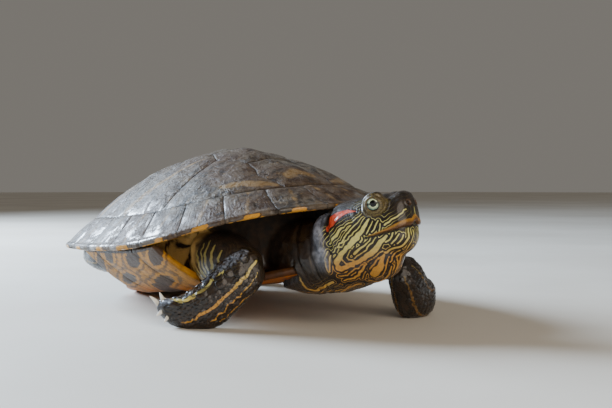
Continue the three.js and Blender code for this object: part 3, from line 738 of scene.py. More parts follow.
# Stations of each length: forward, left, up, half width, half height above and below.
NECK = ((52, 2, 33, 21, 15, 17), (66, 1, 31, 20.5, 16, 17), (82, 0, 29.5, 19, 18, 16.5),
        (96, 4, 32, 17, 15, 17), (108, 8, 34, 13, 12, 15), (119, 11, 36, 10, 8, 13),
        (127, 14, 37, 5.5, 5, 8))
LEGS = {
    "foreleg_right": (
        ((42, -36, 30, 12, 12), (60, -36, 29, 12, 12.5), (73, -34, 27, 9.5, 10),
         (82, -33, 25, 6.5, 7)),
        ((82, -29, 28, 5.5, 7), (75, -38, 21, 6.5, 9.8), (67, -50, 12.5, 5.5, 7.2, 13.4),
         (60, -58, 10, 4.4, 3.8, 11), (51.5, -66, 9, 3, 3.4, 5.5))),
    "foreleg_left": (
        ((44, 36, 31, 12, 12), (64, 37, 30, 12, 12), (84, 38, 27, 9.5, 10), (95, 38, 25, 6.5, 7)),
        ((99, 34, 27, 5.5, 7), (96, 41, 19, 7.5, 10), (92.5, 49, 12, 8, 9.5, 14),
         (90, 57, 11, 7, 7, 12), (87, 63, 12, 4, 3.8, 5.5))),
    "hindleg_right": (
        ((-36, -40, 24, 12, 11), (-52, -47, 25, 11, 9), (-66, -46, 24, 9, 8)),
        ((-60, -48, 24, 8, 7), (-72, -38, 19, 8, 6), (-80, -27, 14, 7, 4))),
    "hindleg_left": (
        ((-36, 40, 24, 12, 11), (-52, 50, 21, 11, 9), (-66, 56, 14, 9, 7)),
        ((-60, 54, 16, 8, 7), (-74, 58, 7, 8, 5.5, 8), (-92, 61, 4, 8.5, 3, 5))),
}
CLAWS = {  # root and tip of each claw
    "foreleg_right": (((56, -59.5, 9), (50.5, -62, 12.4)), ((54.8, -63, 9), (53.9, -65.3, 15.5)),
                      ((54, -64, 8), (51, -68.7, 13.8)), ((55, -63.2, 7.6), (56, -67.8, 5.4)),
                      ((57, -61.8, 5.6), (60, -66, 2.8))),
    "foreleg_left": (((88, 59, 14), (81.5, 64, 18.5)), ((87.5, 60, 12.5), (79.5, 66.5, 15.8)),
                     ((87, 61, 11), (78.6, 68.2, 12)), ((87.5, 60.5, 9), (79.6, 67.6, 7.6)),
                     ((88.5, 58.5, 6), (82.6, 64.6, 3.4))),
    "hindleg_right": (((-79, -27, 14), (-83.4, -19, 12.4)), ((-80, -29, 14), (-87.2, -22.6, 12.4)),
                      ((-80, -31, 14), (-88.6, -27.6, 12.4)), ((-79, -33, 14.6), (-87.8, -32.4, 13))),
    "hindleg_left": (((-88, 56, 3.2), (-96.4, 53.4, 1.2)), ((-88, 59, 3.4), (-98.6, 58.2, 1.2)),
                     ((-88, 63, 3.4), (-98.6, 63.8, 1.2)), ((-87, 66, 3.2), (-95.4, 69, 1.2))),
}
TAIL = ((-60, 0, 22, 9, 7), (-76, 1, 20, 6.5, 5), (-90, 6, 14, 4.4, 3.6), (-99, 14, 9, 2.6, 2.2),
        (-103, 23, 6, 1, 1))
END_SHARE = 0.14  # share of a limb's length that each round end takes
LIMB_ROUNDNESS, NECK_ROUNDNESS = 2.2, 2.1
ROLL_BACK = 40  # the roll of loose skin round the neck, behind the tip of the snout


def on_limb(stations, angle, t, roundness=LIMB_ROUNDNESS):
    """Points of a limb's surface at angles round it (0 is its side, 90 degrees up), at shares t
    of its length."""
    t = np.clip(np.asarray(t, float), 0, 1)
    places = from_body(*np.array([s[:3] for s in stations], float).T)
    at, way = smooth_line(places, t)
    side, over = side_and_over(way)
    wide, up, down = (spline([s[min(k, len(s) - 1)] for s in stations], t) for k in (3, 4, 5))
    end = np.minimum(1, np.minimum(t, 1 - t) / END_SHARE)
    cap = np.sqrt(1 - (1 - end) ** 2)
    c = signed_power(np.cos(angle), 2 / roundness)
    s = signed_power(np.sin(angle), 2 / roundness)
    high = np.where(s > 0, up, down)
    return at + side * (wide * cap * c)[:, None] + over * (high * cap * s)[:, None]


def limb_surface(stations, around=64, along=80, roundness=LIMB_ROUNDNESS):
    t = np.repeat(np.linspace(0, 1, along + 1), around)
    points = on_limb(stations, np.tile(ring(around)[0], along + 1), t, roundness)
    return ball(points.reshape(along + 1, around, 3))


# Half width, top and bottom of the head at distances behind the tip of the snout.
HEAD_BACK = (0, 2, 6, 13, 21, 30, 40)
HEAD_WIDE = (5.2, 7.4, 9.6, 11.8, 14, 15.8, 16)
HEAD_TOP = (8.4, 10.4, 11.2, 11.4, 12.2, 12.2, 11)
HEAD_LOW = (-3, -10.4, -15, -16.6, -17.4, -18.4, -19)
HEAD_LENGTH = 38


def head_size(values, back):
    t = np.linspace(0, 1, 600)
    return np.interp(back, spline(HEAD_BACK, t), spline(values, t))


def head_surface():
    angle = ring(96)
    t = np.linspace(0, 1, 97)[:, None]
    back = HEAD_LENGTH * t**1.5
    nose = (1 - np.clip(1 - t / 0.24, 0, 1) ** ROUNDNESS) ** (1 / ROUNDNESS)
    cap = nose * np.sqrt(np.clip((1 - t) / 0.06, 0, 1))
    wide, top, low = (head_size(v, back) for v in (HEAD_WIDE, HEAD_TOP, HEAD_LOW))
    s = signed_power(np.sin(angle), 2 / ROUNDNESS)
    c = signed_power(np.cos(angle), 2 / ROUNDNESS)
    points = from_head(back + 0 * c, wide * cap * c, (top + low) / 2 + (top - low) / 2 * cap * s)
    return ball(points)


def egg(middle, radii):
    """An ellipsoid in the head's axes: back, side, up."""
    angle = ring(40)
    polar = np.linspace(0, np.pi, 25)[:, None]
    return ball(from_head(middle[0] + radii[0] * np.sin(polar) * np.cos(angle),
                          middle[1] + radii[1] * np.sin(polar) * np.sin(angle),
                          middle[2] + radii[2] * np.cos(polar) + 0 * angle))


TRUNK_OUT, TRUNK_GAP = 0.72, 2.4  # how far out the trunk reaches, and its gap to the plates


def trunk_surface():
    """The flesh inside the shell: over the top from its middle, down the wall, back below."""
    angle = ring(64)
    t = np.linspace(0, 1, 49)[:, None] + 0 * angle
    from_end = np.minimum(t, 1 - t)
    out = TRUNK_OUT * np.minimum(1, from_end / 0.42)
    wall = np.clip((from_end - 0.42) / 0.08, 0, 1)
    a, b = dome_plan(angle, out)
    top = dome_height(angle, out) - PLATE - TRUNK_GAP
    low = belly_height(a, b) + PLATE + TRUNK_GAP
    c = np.where(t <= 0.5, top, low)
    return ball(from_shell(a, b, c + ((top + low) / 2 - c) * wall))


def toes(leg):
    """Short thick stalks from the foot to the root of each claw."""
    parts = []
    for root, tip in CLAWS[leg]:
        root, tip = np.array(root, float), np.array(tip, float)
        way = unit(tip - root)
        back, front = root - way * 4, root + way * 2.8
        lift = max(0, 1.6 - front[2])
        parts.append(limb_surface([(*back, 2.4, 2.2), (*root, 2.3, 2.2),
                                   (*(front + [0, 0, lift]), 1.6, 1.6)], 20, 16))
    return parts


VOXEL = 0.6


def evaluated(piece):
    """The piece's mesh with its modifiers applied, and its modifiers gone."""
    view = bpy.context.evaluated_depsgraph_get()
    view.update()
    mesh = bpy.data.meshes.new_from_object(piece.evaluated_get(view))
    piece.modifiers.clear()
    piece.data = mesh
    return mesh


def flesh_mesh():
    """One closed mesh of all the flesh, in millimetres, even in its spacing."""
    parts = [head_surface(), limb_surface(NECK, 80, 90, NECK_ROUNDNESS),
             limb_surface(TAIL, 32, 60), trunk_surface(),
             egg((ROLL_BACK, 0, -3.6), (7.5, 17.4, 13.4))]
    for side in (1, -1):
        parts.append(egg((EYE_BACK, side * (EYE_SIDE - 0.4), EYE_UP - 0.2), (5.6, 5, 5)))
    for leg, lengths in LEGS.items():
        parts += [limb_surface(s) for s in lengths] + toes(leg)
    verts, faces = joined([outward(*part) for part in parts])
    mesh = bpy.data.meshes.new("skin")
    mesh.from_pydata(verts.tolist(), [], faces)
    piece = bpy.data.objects.new("skin", mesh)
    bpy.context.collection.objects.link(piece)
    remesh = piece.modifiers.new("even", "REMESH")
    remesh.mode = "VOXEL"
    remesh.voxel_size = VOXEL
    evaluated(piece)
    return piece


def neighbour_means(mesh):
    """A function from columns of values on the vertices to the means over their neighbours."""
    start, end = read(mesh.edges, "vertices", 2, np.int32).T
    size = len(mesh.vertices)
    count = np.maximum(np.bincount(np.concatenate([start, end]), minlength=size), 1)
    return lambda values: np.column_stack([
        (np.bincount(start, column[end], size) + np.bincount(end, column[start], size)) / count
        for column in values.T])


def relax(mesh, chosen, rounds):
    """Moves chosen vertices half way to the middle of their neighbours."""
    points = coordinates(mesh)
    means = neighbour_means(mesh)
    for _ in range(rounds):
        points += chosen[:, None] * 0.5 * (means(points) - points)
    set_coordinates(mesh, points)


HIDDEN_OUT, HIDDEN_LESS = 0.66, 0.93  # how far out flesh is hidden, and the share it loses


def thin_inside(piece):
    """Fewer faces on the flesh that the shell hides."""
    points = coordinates(piece.data)
    a, b, c = to_shell(points)
    angle, out = dome_polar(a, b)
    hidden = (out < HIDDEN_OUT) & (c > belly_height(a, b) + 2) & (c < dome_height(angle, out) - 2)
    group = piece.vertex_groups.new(name="inside")
    group.add(np.flatnonzero(hidden).tolist(), 1.0, "ADD")
    fewer = piece.modifiers.new("fewer", "DECIMATE")
    fewer.vertex_group = "inside"
    fewer.vertex_group_factor = 1000  # the most that Blender takes
    fewer.ratio = 1 - HIDDEN_LESS * hidden.mean()
    evaluated(piece)
    piece.vertex_groups.clear()


def refine(piece, chosen):
    """Halves the edges of the chosen part of the mesh."""
    shape = bmesh.new()
    shape.from_mesh(piece.data)
    shape.verts.ensure_lookup_table()
    edges = [e for e in shape.edges if chosen[e.verts[0].index] and chosen[e.verts[1].index]]
    bmesh.ops.subdivide_edges(shape, edges=edges, cuts=1, use_grid_fill=True)
    shape.to_mesh(piece.data)
    shape.free()


# ---- the skin's markings ---------------------------------

# Stripes of the head, in its own axes: back, side, up, half width. The other side mirrors them.
HEAD_STRIPES = (
    # the broad stripe from the eye down to the throat, and the one from the jaw that meets it
    ((15.9, 12, 1, 0.35), (17, 12.6, -0.5, 0.65), (20.8, 13.6, -4.3, 0.95), (22.9, 13.9, -5.9, 1.3),
     (27.1, 14.3, -8.3, 0.95), (29, 14.4, -9.6, 0.8), (31.4, 14, -11, 1.0), (34.6, 13.8, -14, 1.35)),
    ((10, 10.2, -7.4, 0.5), (12.9, 10.6, -9.2, 0.9), (15.3, 10.4, -11, 1.1), (18, 10.2, -13, 1.15),
     (23.8, 11, -15, 0.85), (30, 11.8, -16.7, 0.8), (32.6, 12.5, -16.9, 0.95),
     (34.7, 13.2, -16.5, 1.3)),
    # three thin ones behind the eye, over the broad one
    ((18.7, 12.3, 4, 0.15), (22.1, 13.5, 1.9, 0.18), (26.5, 14.7, 0, 0.2), (28.7, 15.2, -0.7, 0.45),
     (30.8, 15.7, -2.8, 0.75), (35.8, 14, -5.6, 0.3)),
    ((17.8, 12.3, 2.9, 0.15), (21.7, 13.7, -0.2, 0.2), (25.3, 14.9, -2.4, 0.35),
     (27.8, 15.1, -4.9, 0.25), (31.8, 15.1, -7.4, 0.25), (35.1, 14.6, -9.5, 0.25)),
    ((17.4, 12.3, 2.1, 0.12), (20.8, 13.8, -2, 0.2), (25.2, 14.7, -4.4, 0.25),
     (29, 14.8, -7.6, 0.2), (33.1, 14.7, -9.8, 0.2)),
    # short ones between the eye and the corner of the mouth
    ((14.5, 11.8, -0.1, 0.15), (16.2, 12.7, -2.9, 0.25), (17.9, 12.8, -4.9, 0.2)),
    ((11.9, 11.1, -0.3, 0.22), (13, 11.7, -2.2, 0.3), (15.1, 12.1, -4.5, 0.25)),
    ((11.3, 11.2, -2.1, 0.15), (12, 11.2, -4.8, 0.25)),
    ((20, 13.2, -5.9, 0.2), (21.3, 13.2, -7.5, 0.3)),
    # the loops between the two broad stripes
    ((16.6, 12.2, -6.8, 0.22), (18.9, 12.4, -8.9, 0.25), (22, 12.7, -10.2, 0.4),
     (25.2, 12.8, -11.3, 0.6), (26.1, 12.6, -11.8, 0.5)),
    ((24.4, 13.8, -8.8, 0.15), (28.4, 13.3, -11.4, 0.2), (29.8, 12.4, -13.2, 0.25),
     (27.6, 11.9, -13.9, 0.22), (24.4, 11.7, -13, 0.22), (20.2, 11.5, -11.1, 0.25),
     (16.1, 11.7, -8.6, 0.22), (14.6, 11.5, -7.2, 0.2)),
    ((31.7, 13.2, -13.6, 0.25), (30.3, 12.4, -15.1, 0.22), (27.8, 11.6, -15.3, 0.2)),
    # under the jaw
    ((14.1, 8.7, -13, 0.25), (18.4, 9.9, -15.4, 0.2), (22.5, 10.6, -16.6, 0.22),
     (28, 11, -18.6, 0.25), (33.2, 11, -20.1, 0.28), (36, 12, -19.9, 0.25)),
    ((21.9, 10.4, -17.4, 0.3), (26.4, 9.6, -20, 0.55), (30, 8.9, -21.5, 0.5),
     (34.7, 10, -21.7, 0.28)),
    ((15.3, 8.9, -15.2, 0.28), (20.2, 9.8, -18.3, 0.32), (22.3, 9.2, -19.7, 0.25)),
    ((24, 9.2, -20, 0.2), (27.4, 7, -23.1, 0.22)),
    ((14.2, 8.6, -15.1, 0.5), (15.9, 8.6, -17.5, 1.1), (19.9, 7.7, -21.1, 1.9),
     (21.4, 7.4, -22, 1.6)),
    ((12.9, 7.4, -15.8, 0.25), (14.2, 7.3, -18.6, 0.3), (18.7, 5.5, -23, 0.25),
     (21.5, 5.8, -23.6, 0.22), (23.3, 6.9, -22.8, 0.22)),
    ((13.5, 5.3, -20, 0.35), (18.9, 2.3, -24.2, 0.5), (22.2, 1.7, -25, 0.45),
     (25.5, 5.9, -23.9, 0.45)),
    # down the lower jaw and round the chin
    ((7.3, 9.4, -6.6, 0.25), (8.2, 9.5, -8.5, 0.28), (10.9, 9.7, -10, 0.28)),
    ((4.8, 8.2, -7.6, 0.25), (6.6, 8.5, -9.2, 0.28), (9.2, 8.7, -10.7, 0.28)),
    ((3.8, 7, -8.1, 0.22), (4.8, 7.1, -9.7, 0.28), (7.2, 7.5, -11.3, 0.28)),
    ((1.8, 4.6, -6, 0.4), (3.1, 4.7, -10.1, 0.5), (6, 6, -12.6, 0.45), (9.7, 7.7, -12.8, 0.45),
     (13.6, 8.5, -14.4, 0.4)),
    ((7.9, 5.1, -14, 0.3), (11.6, 5.4, -14.8, 0.3), (12.3, 6.1, -16.8, 0.28),
     (13.5, 6.4, -18.8, 0.25)),
    ((1.4, 1.7, -7, 0.25), (2.3, 1.9, -10.4, 0.3), (4.6, 3.1, -13.1, 0.28),
     (10.9, 3.8, -16.2, 0.3), (17.1, 0.7, -24.1, 0.3)),
    ((3.9, 0.4, -12.9, 0.28), (9.4, 2.4, -15.6, 0.4), (13, 1.5, -20.8, 0.5)),
    # the snout
    ((9.8, 10.8, -2.8, 0.35), (7, 9.9, -1.5, 0.32), (3.1, 7.8, 0.3, 0.25), (1, 5.1, 2.2, 0.2)),
    ((-0.2, 0, 3, 0.15), (0, 0, -0.8, 0.22)),
    # behind the head, on the neck
    ((37.5, 15.1, -9.2, 0.22), (39.1, 15.5, -11.5, 0.28), (39.8, 14.6, -15.4, 0.28),
     (39.2, 14.1, -17, 0.25)),
    ((35.9, 15, -10.3, 0.22), (37.2, 15, -12.1, 0.28), (38, 14.4, -15, 0.28),
     (38.1, 13.8, -17.2, 0.25)),
    ((54.5, 14.7, -16.9, 0.45), (54.6, 10.1, -21.8, 0.7), (51.1, 8.8, -23.6, 0.8),
     (40.2, 11, -21.6, 0.65)),
    ((30, 4.9, -24.6, 0.45), (35.7, 6.4, -24.9, 0.7), (45.6, 1, -26.8, 0.45)),
)
# The red patch behind the eye, in the same axes.
EAR_PATCH = ((21.4, 12.3, 5.7, 0.3), (25.5, 12.4, 6.4, 0.9), (30, 13.1, 5.4, 2.0),
             (33.3, 13.8, 3.4, 2.5), (35, 14, 1.4, 1.8), (35.8, 13.8, 0.2, 0.9))
MOUTH_BACK = (0, 2, 5, 9.6, 15.6, 19.7)
MOUTH_UP = (-5.1, -5.1, -5.6, -6.0, -6.4, -6.3)
LIP_UP = (-1.9, -2.1, -3.1, -4.4, -5.6, -5.9)
NOTCH = 1.6  # how far the notch in the middle of the upper beak rises
NOSTRIL = (0.8, 2.9, 4.9)


def beak_notch(u, s):
    return NOTCH * step(s, 3.4, 0.4) * step(u, 5, 3)


def from_nostril(u, s, w):
    return np.sqrt((u - NOSTRIL[0]) ** 2 + (s - NOSTRIL[1]) ** 2 + (w - NOSTRIL[2]) ** 2)


def mouth_line(u, s):
    """Height of the line between the beaks at a distance back and to the side."""
    return np.interp(u, MOUTH_BACK, MOUTH_UP) + beak_notch(u, s)


# Stripes of the right foreleg and the skin over it, in body axes: forward, left, up, half width.
RIDGE_STRIPE = ((80.5, -37.5, 30.2, 0.3), (76.5, -43, 26.4, 0.4), (72.3, -49.4, 21, 0.6),
                (71.2, -52, 17.6, 0.8), (68.4, -55, 15.2, 0.9), (64.8, -58.7, 12, 0.95),
                (60.5, -60.8, 11.9, 0.8), (56, -62.5, 11.4, 0.4))
ARM_STRIPES = (
    RIDGE_STRIPE,
    ((81.5, -33, 29.5, 0.45), (82.9, -37.7, 23.6, 0.7), (80, -41.6, 19.2, 0.8),
     (78.4, -43.7, 16.5, 0.55), (75.6, -47.2, 12.5, 0.8), (72.6, -50.5, 8.2, 0.65),
     (70, -53.7, 6.6, 0.75), (68.2, -55.2, 4.4, 0.35), (66, -57, 3.6, 0.6), (63.5, -59, 2.9, 0.35)),
    ((84, -33, 24, 0.2), (82.5, -36.9, 18.7, 0.35), (80.4, -39.8, 15.2, 0.4),
     (78, -43, 11.5, 0.3), (75.5, -46.1, 7.5, 0.4), (72, -50, 3, 0.25)),
    ((83, -33, 17, 0.25), (80.4, -37, 12.6, 0.35), (77, -42, 7.5, 0.3), (74, -46, 3, 0.3)),
    ((51, -48, 27, 0.5), (53, -48.5, 22, 0.8), (56, -48, 17, 0.8)),
    ((53.6, -48, 30, 0.4), (55.2, -48.5, 24, 0.6), (58, -48, 18.5, 0.6)),
    ((56.5, -48, 33, 0.5), (58, -48.5, 26, 0.8), (60.5, -48, 20, 0.8)),
    ((59.5, -46.5, 36, 0.35), (60.2, -48, 29, 0.6), (62, -48.5, 22.5, 0.6)),
    ((62.7, -45, 38, 0.4), (62.8, -48, 31, 0.8), (64, -49, 25, 0.8)),
    ((66.4, -44, 36, 0.4), (67, -47, 30, 0.8), (67.5, -48, 26, 0.7)),
    ((70.5, -43, 34, 0.4), (70.5, -46, 29, 0.7)),
)
STRIPE_PERIOD = 1.5  # between the thin lines that follow round each stripe
BLEND = 0.5  # how near to each other two stripes start to flow together
STRIPE_REACH = 12  # the farthest from a stripe that is told


def limb_stripes(stations, angles, start, end, half, roundness=LIMB_ROUNDNESS):
    """Lines that run along a limb at angles round it."""
    lines = []
    t = np.linspace(start, end, 9)
    for angle in angles:
        points = on_limb(stations, np.full(9, np.radians(angle)), t, roundness)
        taper = half * (0.6 + 0.4 * np.sin(np.pi * (t - start) / (end - start)))
        lines.append(np.column_stack([points, taper]))
    return lines


def all_stripes():
    """Every stripe of the skin, as bent lines in the part's frame with half widths."""
    lines = []
    for back, out, up, half in (np.array(line, float).T for line in HEAD_STRIPES):
        for side in (1, -1) if out.any() else (1,):
            lines.append(np.column_stack([from_head(back, side * out, up), half]))
    for *place, half in (np.array(line, float).T for line in ARM_STRIPES):
        lines.append(np.column_stack([from_body(*place), half]))
    lines += limb_stripes(NECK, (-112, -90, -68), 0.1, 0.6, 0.4, NECK_ROUNDNESS)
    for leg, (upper, lower) in LEGS.items():
        if leg != "foreleg_right":
            lines += limb_stripes(upper, range(25, 385, 60), 0.05, 0.95, 0.45)
            lines += limb_stripes(lower, range(10, 370, 60), 0.08, 0.86, 0.65)
    lines += limb_stripes(TAIL, range(0, 360, 60), 0.1, 0.95, 0.4)
    return lines


def laid_on_skin(lines, points):
    """The lines laid on the skin: each is cut finely and every point moved to the nearest one."""
    tree = KDTree(len(points))
    for i, point in enumerate(points):
        tree.insert(point, i)
    tree.balance()
    laid = []
    for line in lines:
        long = np.linalg.norm(np.diff(line[:, :3], axis=0), axis=1)
        marks = np.concatenate([[0], np.cumsum(long)])
        even = np.linspace(0, marks[-1], max(3, int(marks[-1] / 1.3) + 1))
        line = np.column_stack([np.interp(even, marks, column) for column in line.T])
        for row in line:
            near, _, gap = tree.find(row[:3])
            if gap < 4:
                row[:3] = near
        laid.append(line)
    return laid


def stripe_field(points, lines):
    """Distance of each point from the nearest stripe's edge, below 0 inside a stripe. Where two
    stripes are equally near, the lines between them are rounded."""
    field = np.full(len(points), 1e9)
    for line in lines:
        low = line[:, :3].min(axis=0) - STRIPE_REACH
        high = line[:, :3].max(axis=0) + STRIPE_REACH
        near = np.all((points > low) & (points < high), axis=1)
        if near.any():
            old, new = field[near], line_distance(points[near], line)
            round_off = np.clip(1 - np.abs(old - new) / BLEND, 0, 1) ** 2 * BLEND / 4
            field[near] = np.minimum(old, new) - round_off
    return np.minimum(field, STRIPE_REACH)


def thin_lines(u, s, w, on_head, b):
    """How strongly the thin lines show: fully on cheek and throat, faintly elsewhere."""
    crown = step(w, -0.5, 3.0) * step(u, 24, 17)
    behind = step(w, 0.5, 4.5) * step(u, 17, 24)
    snout = 0.8 * step(u, 8, 4) * step(w, -6, -4.5)
    face = (1 - 0.8 * np.maximum(crown, behind)) * (1 - snout)
    throat = step(w, -14, -20) * step(u, 60, 48) * step(s, 14, 11) * step(b, 25, 20)
    return face * on_head + (0.05 + 0.5 * throat) * (1 - on_head)


def dulled(a, b, c, on_head):
    """1 where stripes are bright, less on the upper arms and on the far side's foreleg."""
    upper_arm = step(a, 74, 71) * step(c, 13, 17)
    far = step(b, 20, 26) * step(a, 60, 66)
    return 1 - np.maximum(0.66 * upper_arm, 0.75 * far) * (1 - on_head)


# The opening between the lids, in the head's axes: its middle, half width and half height.
OPENING_BACK, OPENING_UP = 12.5, 6.5
OPENING_LONG, OPENING_HIGH = 2.8, 2.6


def eye_opening(u, w):
    """1 along the lids' edge, less inside the opening, more over the lids."""
    return np.hypot((u - OPENING_BACK) / OPENING_LONG, (w - OPENING_UP) / OPENING_HIGH)


def skin_values(points, field):
    """What the skin's and the scales' materials read at each point."""
    u, v, w = to_head(points)
    s = np.abs(v)
    on_head = step(u, 41, 37.5) * step(w, -30, -26.5) * step(s, 20, 17.5)
    ear = line_distance(np.column_stack([u, s, w]), EAR_PATCH)
    gap = w - mouth_line(u, s)
    top = np.interp(u, MOUTH_BACK, LIP_UP) + beak_notch(u, s) - w
    lip = np.maximum(np.where(u < 22, np.maximum(-gap, -top), FAR), u - 17.5)
    b, minus_a = (points - SHIFT)[:, :2].T
    a, c = -minus_a, points[:, 2]
    warm_head = step(w, -7, -17)
    warm_body = 0.35 + 0.65 * step(c, 30, 12)
    # Along the right foreleg's outer ridge the stripe is paler, and the row of big scales gets a
    # painted bluish highlight.
    over_ridge = c - 12 - 0.8 * (b + 61)
    pale = bump(over_ridge, 0, 3.5) * step(b, -30, -36) * step(a, 20, 40)
    warm_body = warm_body - 0.8 * pale * warm_body
    from_ridge = line_distance(np.column_stack([a, b, c]), RIDGE_STRIPE)
    return {
        "stripe": field,
        "lines": thin_lines(u, s, w, on_head, b),
        "ear": np.where(u < 37, ear, FAR),
        "bright": dulled(a, b, c, on_head),
        "lip": lip,
        "beak": gap / np.maximum(gap + top, 0.5),
        # painted shade along the slit of the mouth
        "mouth": np.where(u < 19.5, np.abs(gap + 0.15), FAR),
        "axilla": (step(a, 58, 50) * step(a, 6, 18) * step(np.abs(b), 36, 41)
                   * step(c, 15, 19) * (1 - on_head)),
        "nose": from_nostril(u, s, w),
        "warm": warm_head * on_head + warm_body * (1 - on_head),
        # painted highlight: where the big scales of the foreleg's ridge are painted bluish grey
        "ridge": step(from_ridge, 5.2, 3.8) * step(over_ridge, 0.6, 1.6) * (1 - on_head),
        "shade": step(a, 82, 74) * step(c, 27, 32) * (1 - on_head),
        # painted sheen: the roll of loose skin round the neck is painted plain bluish grey, for the
        # cool light's sheen on it
        "roll": bump(u, ROLL_BACK, 3.4) * step(w, -19, -11) * step(u, 37, 38.5),
        "eyelid": eye_opening(u, w) + FAR * (s < EYE_SIDE - 2),
    }


# ---- the skin's form -------------------------------------

SOCKET_RADIUS = 3.45
EYE_PLACE = np.array([[EYE_BACK], [EYE_SIDE], [EYE_UP]])


def shape_face(points, normal):
    """Beak, mouth, nostrils, lids, ear and the folds behind the head."""
    u, v, w = to_head(points)
    s = np.abs(v)
    # the slit of the mouth, deeper in front, and the beaks that swell on both sides of it
    gap = w - mouth_line(u, s)
    front = step(u, 21, 18.5)
    push = -front * bump(gap, 0, 0.4) * (0.6 + 0.4 * step(u, 19, 8))
    push += 0.35 * front * step(gap, 0.2, 0.7) * step(gap, 3.4, 1.8)
    push -= 0.6 * front * step(gap, -0.2, -0.7) * step(gap, -4.5, -1.5)
    # the nostrils, the dip in front of the eyes and the edge along the snout
    nostril = from_nostril(u, s, w)
    push += -1.5 * bump(nostril, 0, 0.8) + 0.3 * bump(nostril, 1.4, 0.5)
    push -= 1.0 * bump(u, 7.4, 2.3) * step(w, 6.5, 10.5)
    push += 0.35 * bump(w, 8.8, 1.1) * step(u, 9, 6) * step(u, -1, 1.5)
    # the lids' rolled edge, with furrows and a fold round it
    beside = step(s, 6.5, 8)
    lid = eye_opening(u, w)
    push += beside * (0.35 * bump(lid, 1.25, 0.16) - 0.4 * bump(lid, 1.66, 0.13)
                      + 0.25 * bump(lid, 1.95, 0.16) * step(w, EYE_UP - 3, EYE_UP + 1)
                      - 0.25 * bump(lid, 2.3, 0.15))
    # the faint ring of the ear, then the creases between head and neck
    ear = np.hypot(u - 27.5, w - 2.2)
    push -= 0.25 * bump(ear, 4.3, 0.9) * (s > 8) * step(ear, 6, 5)
    crease = np.interp(w, (-16, -8.5, -5, 3, 8, 12), (35.6, 36.6, 37, 39, 40, 40.5))
    sides = step(s, 4, 9)
    push -= 0.7 * bump(u, crease, 0.6) * sides * step(w, -17, -12)
    push += 0.7 * bump(u, crease + 3.6, 2.2) * sides * step(w, -20, -8)
    push -= 0.7 * bump(u, crease + 8.5 + 1.2 * noise(points, 9, 7), 0.8) * (w < 14)
    push -= 0.6 * bump(u, crease + 14.5 + 1.5 * noise(points, 9, 8), 0.9)
    points = points + normal * push[:, None]
    # The skin inside the lids' opening falls back behind the eyeball.
    u, v, w = to_head(points)
    s = np.abs(v)
    opening = step(eye_opening(u, w), 1.04, 0.93) * (s > EYE_SIDE - 0.5) * (u < 22)
    from_eye = np.column_stack([u - EYE_BACK, s - EYE_SIDE, w - EYE_UP])
    length = np.maximum(np.linalg.norm(from_eye, axis=1), 1e-6)
    back, out, up = (from_eye * (SOCKET_RADIUS / length)[:, None]).T + EYE_PLACE
    return points + (from_head(back, out * np.sign(v), up) - points) * opening[:, None]


def shape_body(points, normal, field):
    """Loose skin and wrinkles of the neck, throat and limbs."""
    u, _, w = to_head(points)
    off_face = step(u, 22, 40)
    throat = step(u, 6, 12) * step(w, -13, -17)
    roll = bump(u, ROLL_BACK, 4) * step(w, -19, -11)
    soft = np.maximum(off_face, throat) * (1 - 0.75 * roll)
    folds = 1 - np.abs(noise(points, 5.5, 11))
    fine = 1 - np.abs(noise(points, 2.4, 12))
    push = soft * (0.45 * folds**2 + 0.22 * fine**2 - 0.4)
    push += soft * 0.06 * np.cos(2 * np.pi * field / STRIPE_PERIOD) * (field < 9)
    push += (1 - soft) * 0.05 * noise(points, 1.6, 13)
    push -= 0.15
    return points + normal * push[:, None]


BRIDGE_SLANT = 0.9  # how far the front and rear ends of the bridge slant, with a little room


def bottom_half(a):
    """Half width of the bottom shell, with the slanting ends of the bridge counted in."""
    return np.maximum(plastron_half(a), plastron_half(a - BRIDGE_SLANT * np.sign(a)))


def keep_off_shell(points):
    """Flesh that would reach into a plate is moved back to the plate's inner face."""
    a, b, c = to_shell(points)
    angle, out = dome_polar(a, b)
    roof = dome_under(angle, out) - 0.3
    over = (out < 1.002) & (c > roof) & (c < dome_height(angle, out) + 3)
    c = np.where(over, roof, c)
    floor = belly_height(a, b) + PLATE + 0.3
    within = (np.abs(b) < bottom_half(a) + 0.4) & (a < 88.4) & (a > -85.4)
    under = within & (c < floor) & (c > floor - PLATE - 2.5)
    c = np.where(under, floor, c)
    moved = from_shell(a, b, c)
    moved[:, 2] = np.maximum(moved[:, 2], 0)
    return moved


def in_bottom_shell(points):
    """Whether any of the points lies in a plate of the bottom shell."""
    a, b, c = to_shell(points.reshape(-1, 3))
    face = belly_height(a, b)
    within = (np.abs(b) < bottom_half(a) + 0.2) & (a < 88.2) & (a > -85.2)
    return np.any(within & (c > face - 0.6) & (c < face + PLATE + 0.2))


def hollows(mesh):
    """How far each vertex lies below the middle of its neighbours, in mesh spacings."""
    means = neighbour_means(mesh)
    points = coordinates(mesh)
    depth = np.einsum("ij,ij->i", means(points) - points, normals(mesh))[:, None] / 0.3
    for _ in range(2):
        depth = 0.5 * depth + 0.5 * means(depth)
    return np.clip(depth[:, 0], -1, 1)


FACE_BACK, FACE_LOW = 26, -14  # the finer part of the skin, in the head's axes
JOIN_FRONT, JOIN_REAR = (30, 34), (52, 48)  # where the join of head and neck is smoothed


